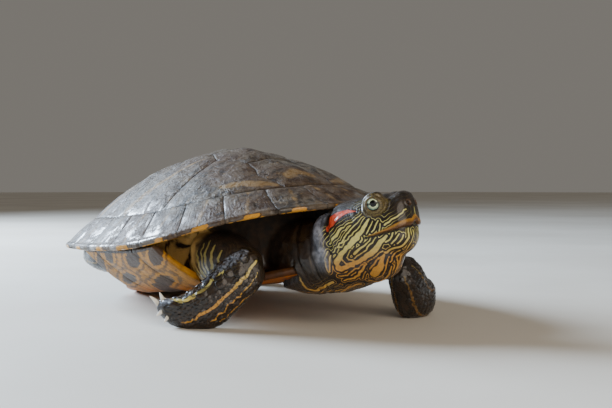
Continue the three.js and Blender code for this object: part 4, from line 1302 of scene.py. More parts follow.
def make_skin(material):
    """The one skin over all the flesh: remeshed, smoothed, formed and given its values."""
    piece = flesh_mesh()
    relax(piece.data, np.ones(len(piece.data.vertices)), 4)
    thin_inside(piece)
    back, _, up = to_head(coordinates(piece.data))
    refine(piece, (back < FACE_BACK) & (up > FACE_LOW))
    mesh = piece.data
    relax(mesh, np.ones(len(mesh.vertices)), 1)
    back = to_head(coordinates(mesh))[0]
    relax(mesh, step(back, *JOIN_FRONT) * step(back, *JOIN_REAR), 6)
    points = coordinates(mesh)
    field = stripe_field(points, laid_on_skin(all_stripes(), points[::3]))
    points = shape_body(points, normals(mesh), field)
    set_coordinates(mesh, points)
    points = keep_off_shell(shape_face(points, normals(mesh)))
    set_coordinates(mesh, points)
    # the hollows' depth, which the material darkens as painted shade
    values = skin_values(points, field) | {"hollow": hollows(mesh)}
    set_coordinates(mesh, points * MM)
    finish_mesh(mesh, material, values)
    mesh.name = "skin"
    settle(piece, ["head", "neck", "trunk", "tail", *LEGS], "skin")


# ---- scales, claws and eyes ------------------------------

# Bands of scales on each lower leg: from and to degrees round it, from and to its length, and
# each scale's length and width.
SCALE_BANDS = {
    "foreleg_right": ((70, 108, 0.08, 0.9, 4.2, 4.6), (114, 168, 0.1, 0.86, 4.6, 5.4),
                      (176, 262, 0.1, 0.88, 2.2, 2.4), (20, 66, 0.1, 0.86, 3.2, 3.0),
                      (-70, 14, 0.12, 0.84, 2.3, 2.2)),
    "foreleg_left": ((64, 116, 0.1, 0.86, 4.8, 4.6), (122, 176, 0.12, 0.84, 3.6, 3.6),
                     (182, 262, 0.1, 0.86, 2.3, 2.2), (-70, 58, 0.1, 0.86, 2.8, 2.7)),
    "hindleg_right": ((0, 358, 0.1, 0.88, 2.8, 2.8),),
    "hindleg_left": ((10, 170, 0.1, 0.88, 3.2, 3.2), (180, 350, 0.1, 0.88, 2.6, 2.6)),
}


def unit_scale(around=14, rows=7):
    """A scale's own points: x along the limb, y across, z up. Round in front, domed, thin."""
    angle = ring(around)
    t = np.linspace(0, 1, rows + 1)[:, None]
    out = np.where(t < 0.7, np.sin(np.pi / 2 * t / 0.7), np.sin(np.pi / 2 * (1 - t) / 0.3))
    x = out * signed_power(np.cos(angle), 0.85) * 0.62
    y = out * signed_power(np.sin(angle), 0.85) * 0.53
    z = np.where(t < 0.7, 0.55 * np.sqrt(np.clip(1 - out**3, 0, 1)) + 0.1, -0.5)
    z = z + 0.5 * x / 0.62 + 0 * angle
    return np.stack([x, y, z], -1), np.where(t < 0.7, out, 1) + 0 * angle


def scale_seats(stations, bands, rng):
    """Where each scale sits on a limb: place, way along, way across, length, width, place on
    the limb's unwrapping."""
    for low, high, start, end, length, width in bands:
        samples = on_limb(stations, np.zeros(60), np.linspace(start, end, 60))
        run = np.linalg.norm(np.diff(samples, axis=0), axis=1).sum()
        rows = max(1, int(run / (length * 0.82)))
        for row in range(rows + 1):
            t = start + (end - start) * row / rows
            arc = np.radians(np.linspace(low, high, 40))
            band = on_limb(stations, arc, np.full(40, t))
            reach = np.concatenate([[0], np.cumsum(np.linalg.norm(np.diff(band, axis=0), axis=1))])
            count = max(1, int(round(reach[-1] / (width * 0.9))))
            stops = (np.arange(count) + 0.5 + 0.5 * (row % 2) - 0.25) / count
            for angle in np.interp(np.clip(stops, 0, 1) * reach[-1], reach, arc):
                jitter = rng.uniform(-1, 1, 4)
                angle = angle + jitter[0] * 0.03
                tt = np.clip(t + jitter[1] * 0.012, 0.02, 0.98)
                p = on_limb(stations, np.array([angle, angle, angle + 0.05]),
                            np.array([tt, tt + 0.02, tt]))
                yield (p[0], p[1] - p[0], p[2] - p[0], length * (1 + jitter[2] * 0.12),
                       width * (1 + jitter[3] * 0.1), angle / (2 * np.pi), tt)


def nearest(tree, place, reach):
    """The nearest place on a surface within reach, in millimetres, and how it faces there."""
    place, facing, _, _ = tree.find_nearest(Vector(place * MM), reach * MM)
    return (None, None) if place is None else (np.array(place) / MM, np.array(facing))


SCALE_LIFT = 0.17  # height of a scale as a share of its smaller side
SCALE_CLEAR = 0.25  # how far every scale stays above the floor
SCALE_PRINT = 0.003  # size of a scale on the limb's unwrapping


def make_scales(name, lengths, bands, tree, lines, material, seed):
    """The scales of one limb, each laid on the skin, as one piece."""
    rng = np.random.default_rng(seed)
    form, form_out = unit_scale()
    form_plan = ball(form)[0][:, :2] * SCALE_PRINT
    parts, places = [], []
    for stations in lengths:
        for place, way, across, length, width, turned, t in scale_seats(stations, bands, rng):
            way = unit(way)
            across = unit(across - way * (across @ way))
            seat, facing = nearest(tree, place, 4)
            if seat is None:
                continue
            if facing @ np.cross(way, across) < 0:
                across = -across
            laid = seat + form[..., :1] * length * way + form[..., 1:2] * width * across
            for index in np.ndindex(laid.shape[:2]):
                near = nearest(tree, laid[index], 6)[0]
                laid[index] = laid[index] if near is None else near
            laid += facing * form[..., 2:] * min(length, width) * SCALE_LIFT
            if laid[..., 2].min() < SCALE_CLEAR or in_bottom_shell(laid):
                continue
            parts.append(outward(*ball(laid)))
            spot = np.array([0.05 + 0.9 * (turned % 1), 0.05 + 0.9 * t])
            places.append(spot + form_plan)
    verts, faces = joined(parts)
    values = skin_values(verts, stripe_field(verts, lines))
    values["border"] = np.tile(by_vertex(form_out), len(parts))
    mesh = add_piece(name, verts, faces, material, values).data
    unwrapped = np.vstack(places)[read(mesh.loops, "vertex_index", 1, np.int32)[:, 0]]
    layer = mesh.uv_layers.new(name="OFBake")
    layer.data.foreach_set("uv", unwrapped.astype(np.float32).ravel())


CLAW_CLEAR = 0.05  # how far every claw stays above the floor


def claw_points(root, tip, width):
    """Rows of points of a curved claw, and their shares of its length."""
    start, end = from_body(*root), from_body(*tip)
    long = np.linalg.norm(end - start)
    middle = start + (end - start) * 0.55 + np.array([0, 0, 0.1 * long])
    t = np.linspace(0, 1, 27)[:, None]
    at = (1 - t) ** 2 * start + 2 * t * (1 - t) * middle + t**2 * end
    side, over = side_and_over(unit((1 - t) * (middle - start) + t * (end - middle)))
    angle = ring(16)
    half = width / 2 * (1 - t) ** 0.62 * np.minimum(1, t / 0.06) ** 0.5
    ridge = 1 + 0.1 * np.cos(angle - np.pi / 2) ** 9
    points = (at[:, None] + side[:, None] * (half * np.cos(angle) * 0.86)[..., None]
              + over[:, None] * (half * np.sin(angle) * ridge)[..., None])
    points[..., 2] = np.maximum(points[..., 2], CLAW_CLEAR)
    return points, t + 0 * angle


def make_claws(leg, width, material):
    parts, along = [], []
    for root, tip in CLAWS[leg]:
        points, t = claw_points(root, tip, width)
        parts.append(outward(*ball(points)))
        along.append(by_vertex(t))
    add_piece(f"claws_{leg}", *joined(parts), material, {"along": np.concatenate(along)},
              slot="claw")


GAZE = np.array([0.93, -0.36, -0.16])  # side, back and up, for the left eye
CORNEA = 0.22  # how far the clear front stands out


def make_eye(word, side, material):
    """An eyeball with its cornea; its values tell the angle from the gaze and the height."""
    gaze = unit(GAZE) * [side, 1, 1]
    up = unit(np.array([0, 0, 1]) - gaze * gaze[2])
    level = np.cross(up, gaze)
    polar = np.linspace(0, np.pi, 61)[:, None]
    angle = ring(72)
    radius = EYE_RADIUS + CORNEA * step(np.degrees(polar), 58, 20) + 0 * angle
    rays = (gaze * np.cos(polar)[..., None] + (up * np.sin(angle)[..., None]
            + level * np.cos(angle)[..., None]) * np.sin(polar)[..., None])
    local = rays * radius[..., None]
    out, back, high = np.moveaxis(local + [side * EYE_SIDE, EYE_BACK, EYE_UP], -1, 0)
    values = {"turn": by_vertex(np.degrees(polar) + 0 * angle), "height": by_vertex(local @ up)}
    add_piece(f"eyeball_{word}", *ball(from_head(back, out, high)), material, values,
              [f"eye_{word}"], "eye")


# ---- materials -------------------------------------------

def paint(code):
    """A colour written as on a paint card, as linear values."""
    parts = [int(code[i:i + 2], 16) / 255 for i in (1, 3, 5)]
    return tuple(x / 12.92 if x <= 0.04045 else ((x + 0.055) / 1.055) ** 2.4 for x in parts)


class Bench:
    """Short ways to place and wire the nodes of one tree."""

    def __init__(self, tree):
        self.tree = tree

    def add(self, kind, inputs=None, **settings):
        made = self.tree.nodes.new(kind)
        for key, value in settings.items():
            setattr(made, key, value)
        for key, value in (inputs or {}).items():
            if isinstance(value, bpy.types.NodeSocket):
                self.tree.links.new(value, made.inputs[key])
            elif made.inputs[key].type == "RGBA":
                made.inputs[key].default_value = (*tuple(value)[:3], 1)
            else:
                made.inputs[key].default_value = value
        return made

    def math(self, operation, a, b=0.0, c=0.0, clamp=False):
        return self.add("ShaderNodeMath", {0: a, 1: b, 2: c}, operation=operation,
                        use_clamp=clamp).outputs[0]

    def step(self, value, low, high):
        """Smooth step; low may be above high."""
        flip = low > high
        made = self.add("ShaderNodeMapRange", {
            "Value": value, "From Min": min(low, high), "From Max": max(low, high),
            "To Min": float(flip), "To Max": float(not flip)}, interpolation_type="SMOOTHSTEP")
        return made.outputs[0]

    def sway(self, value, cloud, by):
        """The value moved to both sides by a noise."""
        return self.math("MULTIPLY_ADD", self.math("SUBTRACT", cloud, 0.5), by, value)

    def mix(self, share, a, b):
        """Colour a with a share of colour b; both may be colour codes."""
        a, b = (paint(each) if isinstance(each, str) else each for each in (a, b))
        return self.add("ShaderNodeMix", {0: share, 6: a, 7: b}, data_type="RGBA").outputs[2]

    def over(self, colour, share, strength, tint):
        """The colour under a share of a tint, which shows at a strength."""
        return self.mix(self.math("MULTIPLY", share, strength), colour, tint)

    def field(self, name):
        return self.add("ShaderNodeAttribute", attribute_name=name).outputs["Fac"]

    def noise(self, at, size, detail=3.0, rough=0.55, twist=0.0):
        """Noise from 0 to 1 with features of a size in millimetres."""
        return self.add("ShaderNodeTexNoise", {
            "Vector": at, "Scale": 1 / (size * MM), "Detail": detail, "Roughness": rough,
            "Distortion": twist}).outputs["Fac"]

    def group(self, name, make, inputs):
        """Outputs of a node group, which is made on its first use."""
        tree = bpy.data.node_groups.get(name) or make(name)
        return self.add("ShaderNodeGroup", inputs, node_tree=tree).outputs


def new_group(name, inputs, outputs):
    """An empty node group with number sockets, its bench, and its inner ends."""
    tree = bpy.data.node_groups.new(name, "ShaderNodeTree")
    for key, value in inputs.items():
        kind = "NodeSocketVector" if value is None else "NodeSocketFloat"
        made = tree.interface.new_socket(name=key, in_out="INPUT", socket_type=kind)
        if value is not None:
            made.default_value = value
    for key in outputs:
        tree.interface.new_socket(name=key, in_out="OUTPUT", socket_type="NodeSocketFloat")
    bench = Bench(tree)
    inner = bench.add("NodeGroupInput").outputs
    end = bench.add("NodeGroupOutput")

    def put(key, socket):
        tree.links.new(socket, end.inputs[key])

    return tree, bench, inner, put


def stripe_group(name):
    """Stripes from a distance: whole inside, then thin lines that follow round them."""
    tree, b, put_in, put = new_group(
        name, {"Place": None, "Distance": 0.0, "Waver": 0.5, "Period": STRIPE_PERIOD,
               "Reach": 9.0, "Width": 0.12, "Lines": 1.0}, ("Stripe",))
    wide = b.math("SUBTRACT", b.noise(put_in["Place"], 2.6, 3.0), 0.5)
    fine = b.math("SUBTRACT", b.noise(put_in["Place"], 0.8, 2.0), 0.5)
    moved = b.math("MULTIPLY_ADD", fine, 0.45, wide)
    d = b.math("MULTIPLY_ADD", moved, put_in["Waver"], put_in["Distance"])
    part = b.math("FRACT", b.math("DIVIDE", d, put_in["Period"]))
    off = b.math("ABSOLUTE", b.math("SUBTRACT", part, 0.62))
    line = b.math("MULTIPLY", b.math("SUBTRACT", put_in["Width"], off), 11.0, clamp=True)
    fade = b.math("MULTIPLY", b.math("SUBTRACT", put_in["Reach"], d), 0.5, clamp=True)
    for share in (b.math("GREATER_THAN", d, 0.0), fade, put_in["Lines"]):
        line = b.math("MULTIPLY", line, share)
    put("Stripe", b.math("MAXIMUM", b.step(d, 0.18, -0.16), line))
    return tree


def grain_group(name):
    """Fine skin grain: little domed cells over small wrinkles, as a height."""
    tree, b, put_in, put = new_group(name, {"Place": None}, ("Height", "Crack"))
    at = put_in["Place"]
    edge = b.add("ShaderNodeTexVoronoi", {"Vector": at, "Scale": 1 / (0.75 * MM)},
                 feature="DISTANCE_TO_EDGE").outputs["Distance"]
    crack = b.step(edge, 0.0, 0.16)
    height = b.math("MULTIPLY_ADD", b.noise(at, 1.6, 5.0, 0.6), 0.6,
                    b.math("MULTIPLY", crack, 0.35))
    put("Height", b.math("MULTIPLY_ADD", b.noise(at, 0.25, 2.0), 0.15, height))
    put("Crack", crack)
    return tree


def horn_group(name):
    """Horn of a plate: dark seam, thin growth lines, streaks from the middle, pale bloom."""
    tree, b, put_in, put = new_group(
        name, {"Place": None, "Seam": 0.0, "Ring": 0.0, "Ray": 0.0, "Plate": 0.0},
        ("Seam line", "Growth", "Streak", "Bloom", "Height"))
    at = put_in["Place"]
    cloud = b.noise(at, 4.0, 3.0)
    put("Seam line", b.step(b.sway(put_in["Seam"], cloud, 0.35), 0.4, 0.08))
    rings = b.sway(put_in["Seam"], cloud, 1.2)
    coarse, fine = (b.math("SINE", b.math("MULTIPLY", rings, pace)) for pace in (3.6, 8.7))
    growth = b.math("MULTIPLY_ADD", fine, 0.4, coarse)
    put("Growth", b.step(growth, 0.4, 1.2))
    polar = b.add("ShaderNodeCombineXYZ", {
        "X": b.math("MULTIPLY", b.math("SINE", put_in["Ray"]), 2.6),
        "Y": b.math("MULTIPLY", b.math("COSINE", put_in["Ray"]), 2.6),
        "Z": b.math("MULTIPLY_ADD", put_in["Ring"], 0.8, put_in["Plate"])}).outputs[0]
    rays = b.add("ShaderNodeTexNoise", {"Vector": polar, "Scale": 3.0, "Detail": 4.0,
                                        "Roughness": 0.65, "Distortion": 0.6}).outputs["Fac"]
    # The streaks only show away from the middle of a plate, where they would all meet.
    rays = b.sway(0.5, rays, b.step(put_in["Ring"], 0.12, 0.5))
    put("Streak", rays)
    put("Bloom", b.step(b.noise(at, 12.0, 5.0, 0.6, 0.8), 0.48, 0.7))
    height = b.math("MULTIPLY_ADD", growth, 0.05,
                    b.math("MULTIPLY", b.noise(at, 0.9, 4.0, 0.7), 0.35))
    height = b.math("MULTIPLY_ADD", b.noise(at, 4.2, 5.0, 0.65, 0.5), 3.0, height)
    put("Height", b.math("MULTIPLY_ADD", rays, 0.25, height))
    return tree


def horn_of_plate(b, at):
    fields = {key.capitalize(): b.field(key) for key in ("seam", "ring", "ray", "plate")}
    return b.group("Plate horn", horn_group, {"Place": at} | fields)


def following_stripes(b, at, field, **settings):
    fixed = {key.capitalize(): value for key, value in settings.items()}
    return b.group("Following stripes", stripe_group,
                   {"Place": at, "Distance": b.field(field)} | fixed)["Stripe"]


def new_material(name):
    """An empty material, the bench for its nodes, and the place on the piece."""
    made = bpy.data.materials.new(name)
    made.use_nodes = True
    made.node_tree.nodes.clear()
    b = Bench(made.node_tree)
    return made, b, b.add("ShaderNodeTexCoord").outputs["Object"]


def finish_material(b, colour, roughness, height, distance, **others):
    """Ends a material in a Principled shader; other values go to its own sockets."""
    normal = b.add("ShaderNodeBump", {"Height": height, "Strength": 1.0,
                                      "Distance": distance * MM}).outputs[0]
    shader = b.add("ShaderNodeBsdfPrincipled", {
        "Base Color": colour, "Roughness": roughness, "Normal": normal,
        **{key.replace("_", " "): value for key, value in others.items()}})
    b.add("ShaderNodeOutputMaterial", {"Surface": shader.outputs[0]})


def carapace_material(looks):
    made, b, at = new_material("carapace horn")
    horn = horn_of_plate(b, at)
    tone = b.noise(at, 7, 6, 0.68, 0.9)
    colour = b.mix(b.step(tone, 0.4, 0.58), looks.shell_dark, looks.shell_light)
    colour = b.over(colour, b.step(b.noise(at, 38, 3, 0.5), 0.4, 0.62), 0.55, "#4a3220")
    colour = b.over(colour, b.step(horn["Streak"], 0.54, 0.68), 0.2, "#8c7c5e")
    colour = b.over(colour, b.step(horn["Streak"], 0.45, 0.36), 0.25, "#1c1611")
    colour = b.over(colour, b.step(b.noise(at, 3.2, 5, 0.65, 1.2), 0.58, 0.72), 0.4, "#9a7c4c")
    bar = b.sway(b.field("bar"), b.noise(at, 5, 4), 4.5)
    colour = b.over(colour, b.step(bar, 0.5, -1.2), 0.42, looks.shell_bar)
    colour = b.over(colour, horn["Growth"], 0.22, "#241c15")
    colour = b.over(colour, horn["Bloom"], 0.22, "#7f7a72")
    colour = b.over(colour, b.step(b.noise(at, 5.5, 5, 0.65, 0.6), 0.54, 0.66), 0.7, "#1a1511")
    colour = b.over(colour, horn["Seam line"], 0.5, "#15110c")
    # The under side of the rim: yellow, with dark ringed blotches astride the seams.
    blotch = following_stripes(b, at, "blot", waver=2.6, period=2.6, reach=4.2, width=0.2)
    low = b.mix(b.step(tone, 0.35, 0.7), looks.under_yellow, "#c48a2b")
    low = b.over(low, b.step(b.noise(at, 9, 4), 0.45, 0.7), 0.5, "#6b4c2a")
    low = b.over(low, blotch, 0.88, looks.blotch)
    low = b.over(low, horn["Seam line"], 0.8, "#2b1c10")
    under = b.sway(b.field("under"), b.noise(at, 3, 3), 0.35)
    colour = b.mix(b.step(under, 0.4, 0.6), colour, low)
    rough = b.math("MULTIPLY_ADD", b.noise(at, 3.4, 5, 0.65), 0.3, 0.4)
    wet = b.step(b.noise(at, 8, 5, 0.65, 0.8), 0.46, 0.6)
    finish_material(b, colour, rough, horn["Height"], 0.4, Coat_Weight=wet,
                    Specular_IOR_Level=0.2, Coat_Roughness=0.21)
    return made


def plastron_material(looks):
    made, b, at = new_material("plastron horn")
    horn = horn_of_plate(b, at)
    colour = b.mix(b.step(b.noise(at, 18, 4, 0.6), 0.35, 0.68), looks.plastron_orange, "#c27a24")
    colour = b.mix(b.field("bridge"), colour, looks.under_yellow)
    colour = b.over(colour, b.step(b.noise(at, 9, 5, 0.65, 0.8), 0.42, 0.66), 0.6, "#5a3c16")
    blotch = following_stripes(b, at, "blot", waver=4.2, period=4.4, reach=5.0, width=0.24,
                               lines=0.75)
    colour = b.over(colour, blotch, 0.92, looks.blotch)
    colour = b.over(colour, horn["Growth"], 0.22, "#4a2d12")
    colour = b.over(colour, horn["Seam line"], 0.9, "#1c120a")
    rough = b.math("MULTIPLY_ADD", b.noise(at, 4, 4), 0.25, 0.33)
    finish_material(b, colour, rough, horn["Height"], 0.25, Specular_IOR_Level=0.15,
                    Coat_Weight=0.08, Coat_Roughness=0.2)
    return made


def skin_material(looks, name, scales):
    """Striped skin; the scales over it have the same markings and a harder, smoother face."""
    made, b, at = new_material(name)
    stripes = following_stripes(b, at, "stripe", waver=0.2, reach=8.5, width=0.115,
                                lines=b.field("lines"))
    grain = b.group("Skin grain", grain_group, {"Place": at})
    mottle = b.noise(at, 3.4, 5, 0.6)
    dark = b.mix(b.step(mottle, 0.35, 0.7), looks.skin_dark, looks.skin_brown)
    warm = b.field("warm")
    light = b.mix(warm, looks.stripe_pale, looks.stripe_warm)
    light = b.over(light, b.step(b.noise(at, 1.6, 4), 0.45, 0.75), 0.4,
                   b.mix(warm, "#9d8f4a", "#8a5a20"))
    colour = b.over(dark, stripes, b.field("bright"), light)
    # Painted sheen: the roll of loose skin is painted a plain bluish grey, for the cool light's sheen
    # on it.
    colour = b.over(colour, b.field("roll"), 0.85,
                    b.mix(b.step(mottle, 0.38, 0.66), "#565a66", "#979cab"))
    # Painted highlight: bluish grey patches on the foreleg's ridge of big scales, for the cool
    # light's glint on them.
    painted_ridge_glint = b.math("MULTIPLY", b.field("ridge"), b.step(b.noise(at, 1.4, 4), 0.36, 0.6))
    colour = b.over(colour, painted_ridge_glint, 0.62, "#8791a3")
    band = b.mix(b.step(b.sway(b.field("beak"), mottle, 0.9), 0.3, 0.85), looks.lip_low, looks.lip)
    colour = b.over(colour, b.step(b.sway(b.field("lip"), mottle, 0.8), 0.3, -0.35), 0.9, band)
    # Painted shade: a near black line along the slit between the beaks.
    colour = b.over(colour, b.step(b.field("mouth"), 0.55, 0.25), 0.85, "#0d0806")
    swirl = b.step(b.noise(at, 13, 3, 0.55, 1.4), 0.58, 0.44)
    colour = b.over(colour, b.field("axilla"), swirl, "#c9a05c")
    ear = b.sway(b.field("ear"), mottle, 0.9)
    colour = b.mix(b.step(ear, 1.1, 0.55), colour, looks.skin_dark)
    colour = b.mix(b.step(ear, 0.15, -0.25), colour,
                   b.mix(b.step(mottle, 0.35, 0.65), looks.ear_red, "#d4502a"))
    # A brown ring round each nostril, and painted shade: its hole near black.
    nose = b.field("nose")
    colour = b.over(colour, b.step(nose, 1.9, 1.2), 0.5, "#5c3c1e")
    colour = b.mix(b.step(nose, 1.05, 0.7), colour, "#0f0804")
    lid = b.field("eyelid")
    lid_band = b.math("MULTIPLY", b.step(lid, 2.1, 1.7), b.step(lid, 0.8, 1.0))
    colour = b.over(colour, lid_band, 0.75,
                    b.mix(b.step(b.noise(at, 0.8, 4), 0.42, 0.6), looks.eyelid, "#77683a"))
    # Painted shade: near black where the skin falls back behind the eyeball, inside the lids.
    colour = b.mix(b.step(lid, 1.02, 0.93), colour, "#0b0908")
    # Painted shade: the skin is darker in its hollows and creases.
    colour = b.over(colour, b.step(b.field("hollow"), 0.05, 0.5), 0.6, "#0d0a08")
    colour = b.over(colour, b.math("SUBTRACT", 1.0, grain["Crack"]), 0.16, "#0d0a08")
    if scales:
        # Painted shade: each scale darker at its edge, in the crevices between scales.
        rim = b.step(b.sway(b.field("border"), mottle, 0.2), 0.72, 0.98)
        colour = b.over(colour, rim, 0.75, "#0b0806")
    shade = b.field("shade")
    rough = b.math("MULTIPLY_ADD", mottle, 0.24, 0.14 if scales else 0.24)
    rough = b.math("MULTIPLY_ADD", shade, 0.35, rough)
    wet = b.math("MULTIPLY_ADD", shade, -0.5, 0.5, clamp=True)
    finish_material(b, colour, rough, grain["Height"], 0.1 if scales else 0.22,
                    Coat_Weight=wet, Specular_IOR_Level=0.22, Coat_Roughness=0.16)
    return made


def eye_material(looks):
    made, b, at = new_material("wet eye")
    turned = b.field("turn")
    fleck = b.noise(at, 0.5, 4, 0.6)
    iris = b.mix(b.step(turned, 22, 44), looks.iris_inner, looks.iris_outer)
    iris = b.over(iris, b.step(fleck, 0.46, 0.66), 0.6, "#34382a")
    iris = b.mix(b.step(turned, 45, 52), iris, "#0c0b08")
    bar = b.math("ABSOLUTE", b.sway(b.field("height"), fleck, 0.5))
    iris = b.over(iris, b.step(bar, 0.65, 0.4), 0.9, "#0d0a07")
    colour = b.mix(b.step(turned, 21.5, 20), iris, "#020202")
    finish_material(b, colour, b.math("MULTIPLY_ADD", fleck, 0.03, 0.04), fleck, 0.004,
                    Specular_IOR_Level=0.1, Coat_Weight=0.55, Coat_Roughness=0.02)
    return made


def claw_material(looks):
    made, b, at = new_material("claw horn")
    streak = b.noise(at, 0.6, 4, 0.6)
    colour = b.mix(b.step(b.field("along"), 0.1, 0.6), looks.claw_root, looks.claw_tip)
    colour = b.over(colour, b.step(streak, 0.45, 0.7), 0.35, "#6d5c47")
    finish_material(b, colour, b.math("MULTIPLY_ADD", streak, 0.2, 0.25), streak, 0.05,
                    Coat_Weight=0.3, Coat_Roughness=0.15)
    return made


def floor_material(looks):
    made, b, at = new_material("floor")
    cloud = b.noise(at, 260, 4)
    colour = b.mix(b.step(cloud, 0.3, 0.7), looks.floor, "#cfc8bc")
    finish_material(b, colour, b.math("MULTIPLY_ADD", cloud, 0.1, 0.6), b.noise(at, 1.5, 3), 0.02)
    return made


# ---- settings, pieces and panel --------------------------

def colour_setting(name, words, code):
    return FloatVectorProperty(name=name, description=words, default=paint(code), subtype="COLOR",
                               size=3, min=0, max=1)


class TurtleLooks(bpy.types.PropertyGroup):
    shell_dark: colour_setting("Shell dark", "Darker horn of the carapace", "#2e2823")
    shell_light: colour_setting("Shell light", "Lighter horn of the carapace", "#605649")
    shell_bar: colour_setting("Shell bar", "Pale bar across each side plate", "#a5834e")
    under_yellow: colour_setting("Under yellow", "Under side of the rim and the bridge", "#b07a20")
    plastron_orange: colour_setting("Plastron", "Bottom shell", "#a9560f")
    blotch: colour_setting("Blotch", "Dark blotches of the under side", "#262020")
    skin_dark: colour_setting("Skin dark", "Darkest skin", "#130d09")
    skin_brown: colour_setting("Skin brown", "Brown of the skin", "#2b1d11")
    stripe_pale: colour_setting("Pale stripe", "Stripes of the cheek", "#d0c873")
    stripe_warm: colour_setting("Warm stripe", "Stripes of the throat and limbs", "#b8832f")
    lip: colour_setting("Lip", "Upper edge of the band above the mouth", "#a5741f")
    lip_low: colour_setting("Lower lip", "Lower edge of the band above the mouth", "#553210")
    ear_red: colour_setting("Ear patch", "Red patch behind the eye", "#b8301c")
    eyelid: colour_setting("Eyelid", "Lids round the eye", "#4f4128")
    iris_inner: colour_setting("Inner iris", "Iris beside the pupil", "#d2dfb2")
    iris_outer: colour_setting("Outer iris", "Rest of the iris", "#5d7f78")
    claw_root: colour_setting("Claw root", "Claws where they leave the toe", "#8d8272")
    claw_tip: colour_setting("Claw tip", "Tips of the claws", "#e6dfd0")
    floor: colour_setting("Floor", "Floor under the animal", "#ddd7cc")


class TurtleSizes(bpy.types.PropertyGroup):
    claw_width: FloatProperty(name="Claw width", description="Width of a claw at its root",
                              default=2.7 * MM, unit="LENGTH")
    lens: FloatProperty(name="Lens", description="Focal length of the camera in millimetres",
                        default=52.94, subtype="DISTANCE_CAMERA")
    scale_seed: IntProperty(name="Scale seed", description="Start of the scales' small shifts",
                            default=7)
    key_power: FloatProperty(name="Key light", description="Power of the large cool light",
                             default=68, unit="POWER")
    fill_power: FloatProperty(name="Fill light", description="Power of the soft warm light",
                              default=7, unit="POWER")


def material(name, make, *words):
    return bpy.data.materials.get(name) or make(*words)


class TURTLE_OT_carapace(bpy.types.Operator):
    """Builds the vertebral, costal and rim plates of the upper shell"""
    bl_idname = "turtle.carapace"
    bl_label = "Carapace plates"

    def execute(self, context):
        horn = material("carapace horn", carapace_material, context.scene.turtle_looks)
        for number, (name, corners) in enumerate(dome_outlines().items()):
            dome_plate(name, np.array(corners, float), number * 1.7, horn)
        seams = rim_angles()
        marginal_plate("nuchal", 1, -seams[0], seams[0], True, 60.0, horn)
        for word, side in (("left", 1), ("right", -1)):
            for k in range(MARGINALS):
                marginal_plate(f"marginal_{word}_{k + 1}", side, seams[k], seams[k + 1], False,
                               20.0 + k * 1.3 + side * 0.4, horn)
        return {"FINISHED"}


class TURTLE_OT_plastron(bpy.types.Operator):
    """Builds the twelve plates of the bottom shell"""
    bl_idname = "turtle.plastron"
    bl_label = "Plastron plates"

    def execute(self, context):
        horn = material("plastron horn", plastron_material, context.scene.turtle_looks)
        for word, side in (("left", 1), ("right", -1)):
            for i in range(len(PLASTRON_NAMES)):
                plastron_plate(i, word, side, 40.0 + i * 1.9 + side * 0.3, horn)
        return {"FINISHED"}


class TURTLE_OT_skin(bpy.types.Operator):
    """Builds the one skin of head, neck, trunk, legs and tail"""
    bl_idname = "turtle.skin"
    bl_label = "Skin"

    def execute(self, context):
        make_skin(material("striped skin", skin_material, context.scene.turtle_looks,
                           "striped skin", False))
        return {"FINISHED"}


class TURTLE_OT_scales(bpy.types.Operator):
    """Lays the scales of the legs on the skin"""
    bl_idname = "turtle.scales"
    bl_label = "Scales"

    def execute(self, context):
        skin = bpy.data.objects.get("skin")
        if skin is None:
            raise RuntimeError("The scales lie on the skin: build the skin first.")
        tree = BVHTree.FromObject(skin, context.evaluated_depsgraph_get())
        over = material("scales", skin_material, context.scene.turtle_looks, "scales", True)
        lines = laid_on_skin(all_stripes(), coordinates(skin.data)[::3] / MM)
        for k, (leg, bands) in enumerate(SCALE_BANDS.items()):
            make_scales(f"scales_{leg}", LEGS[leg][1:], bands, tree, lines, over,
                        context.scene.turtle_sizes.scale_seed + k)
        return {"FINISHED"}


class TURTLE_OT_claws(bpy.types.Operator):
    """Builds the claws of all four feet"""
    bl_idname = "turtle.claws"
    bl_label = "Claws"

    def execute(self, context):
        horn = material("claw horn", claw_material, context.scene.turtle_looks)
        for leg in CLAWS:
            make_claws(leg, context.scene.turtle_sizes.claw_width / MM, horn)
        return {"FINISHED"}


class TURTLE_OT_eyes(bpy.types.Operator):
    """Builds both eyes"""
    bl_idname = "turtle.eyes"
    bl_label = "Eyes"

    def execute(self, context):
        glass = material("wet eye", eye_material, context.scene.turtle_looks)
        for word, side in (("left", 1), ("right", -1)):
            make_eye(word, side, glass)
        return {"FINISHED"}


LOOKING = (0.568, 0.823, -0.0233)  # the camera's direction
CAMERA_AT = (416.5, -237.0, 63.65)  # forward, left, up
SENSOR_WIDTH, NEAREST_SEEN = 36, 0.01
FLOOR_RADIUS, FLOOR_BELOW = 6, 0.0002
SKY, SKY_STRENGTH = "#dcd6cc", 0.27
# Each light: metres to the side, ahead and up from the animal, its size and its tint.
LAMPS = {"key": (-0.95, 0.5, 0.5, 0.6, (0.66, 0.81, 1.0)),
         "fill": (0.35, -0.8, 0.3, 0.9, (1.0, 0.9, 0.78))}


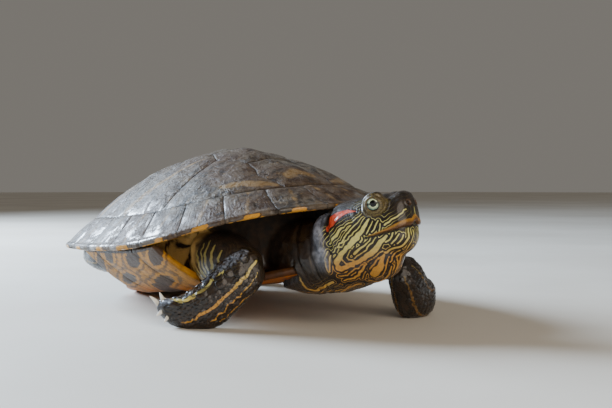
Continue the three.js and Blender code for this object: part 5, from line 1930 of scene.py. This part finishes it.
class TURTLE_OT_stage(bpy.types.Operator):
    """Sets the floor, lights and camera"""
    bl_idname = "turtle.stage"
    bl_label = "Floor, lights and camera"

    def execute(self, context):
        sizes = context.scene.turtle_sizes
        bpy.ops.mesh.primitive_circle_add(vertices=96, radius=FLOOR_RADIUS, fill_type="NGON",
                                          location=(0, 0, -FLOOR_BELOW))
        floor = context.object
        floor.name = "floor"
        floor.data.materials.append(material("floor", floor_material, context.scene.turtle_looks))

        world = bpy.data.worlds.new("studio")
        world.use_nodes = True
        sky = world.node_tree.nodes["Background"].inputs
        sky["Color"].default_value = (*paint(SKY), 1)
        sky["Strength"].default_value = SKY_STRENGTH
        context.scene.world = world

        way = Vector(LOOKING).normalized()
        flat = Vector((way.x, way.y, 0)).normalized()
        right = way.cross(Vector((0, 0, 1))).normalized()
        middle = Vector(np.mean(CAD_BOX, axis=0))
        for name, (side, ahead, up, size, tint) in LAMPS.items():
            lamp = bpy.data.lights.new(name, "AREA")
            lamp.shape = "DISK"
            lamp.size = size
            lamp.energy = getattr(sizes, f"{name}_power")
            lamp.color = tint
            piece = bpy.data.objects.new(name, lamp)
            piece.location = middle + right * side + flat * ahead + Vector((0, 0, up))
            piece.rotation_euler = (middle - piece.location).to_track_quat("-Z", "Y").to_euler()
            context.collection.objects.link(piece)

        lens = bpy.data.cameras.new("camera")
        lens.lens = sizes.lens
        lens.sensor_width = SENSOR_WIDTH
        lens.clip_start = NEAREST_SEEN
        camera = bpy.data.objects.new("camera", lens)
        camera.location = Vector(from_body(*CAMERA_AT) * MM)
        camera.rotation_euler = way.to_track_quat("-Z", "Y").to_euler()
        context.collection.objects.link(camera)
        context.scene.camera = camera
        return {"FINISHED"}


PIECES = (TURTLE_OT_stage, TURTLE_OT_carapace, TURTLE_OT_plastron, TURTLE_OT_skin,
          TURTLE_OT_scales, TURTLE_OT_claws, TURTLE_OT_eyes)


class TURTLE_PT_panel(bpy.types.Panel):
    bl_label = "Red-eared slider"
    bl_idname = "TURTLE_PT_panel"
    bl_space_type = "VIEW_3D"
    bl_region_type = "UI"
    bl_category = "Turtle"

    def draw(self, context):
        for piece in PIECES:
            self.layout.operator(piece.bl_idname)
        for settings in (context.scene.turtle_sizes, context.scene.turtle_looks):
            for key in settings.bl_rna.properties.keys():
                if key not in ("rna_type", "name"):
                    self.layout.prop(settings, key)


CLASSES = (TurtleLooks, TurtleSizes, *PIECES, TURTLE_PT_panel)


def register():
    for each in CLASSES:
        bpy.utils.register_class(each)
    bpy.types.Scene.turtle_looks = PointerProperty(type=TurtleLooks)
    bpy.types.Scene.turtle_sizes = PointerProperty(type=TurtleSizes)


def unregister():
    del bpy.types.Scene.turtle_looks
    del bpy.types.Scene.turtle_sizes
    for each in reversed(CLASSES):
        bpy.utils.unregister_class(each)


def main():
    register()
    bpy.ops.turtle.stage()
    bpy.ops.turtle.carapace()
    bpy.ops.turtle.plastron()
    bpy.ops.turtle.skin()
    bpy.ops.turtle.scales()
    bpy.ops.turtle.claws()
    bpy.ops.turtle.eyes()


if __name__ == "__main__":
    main()
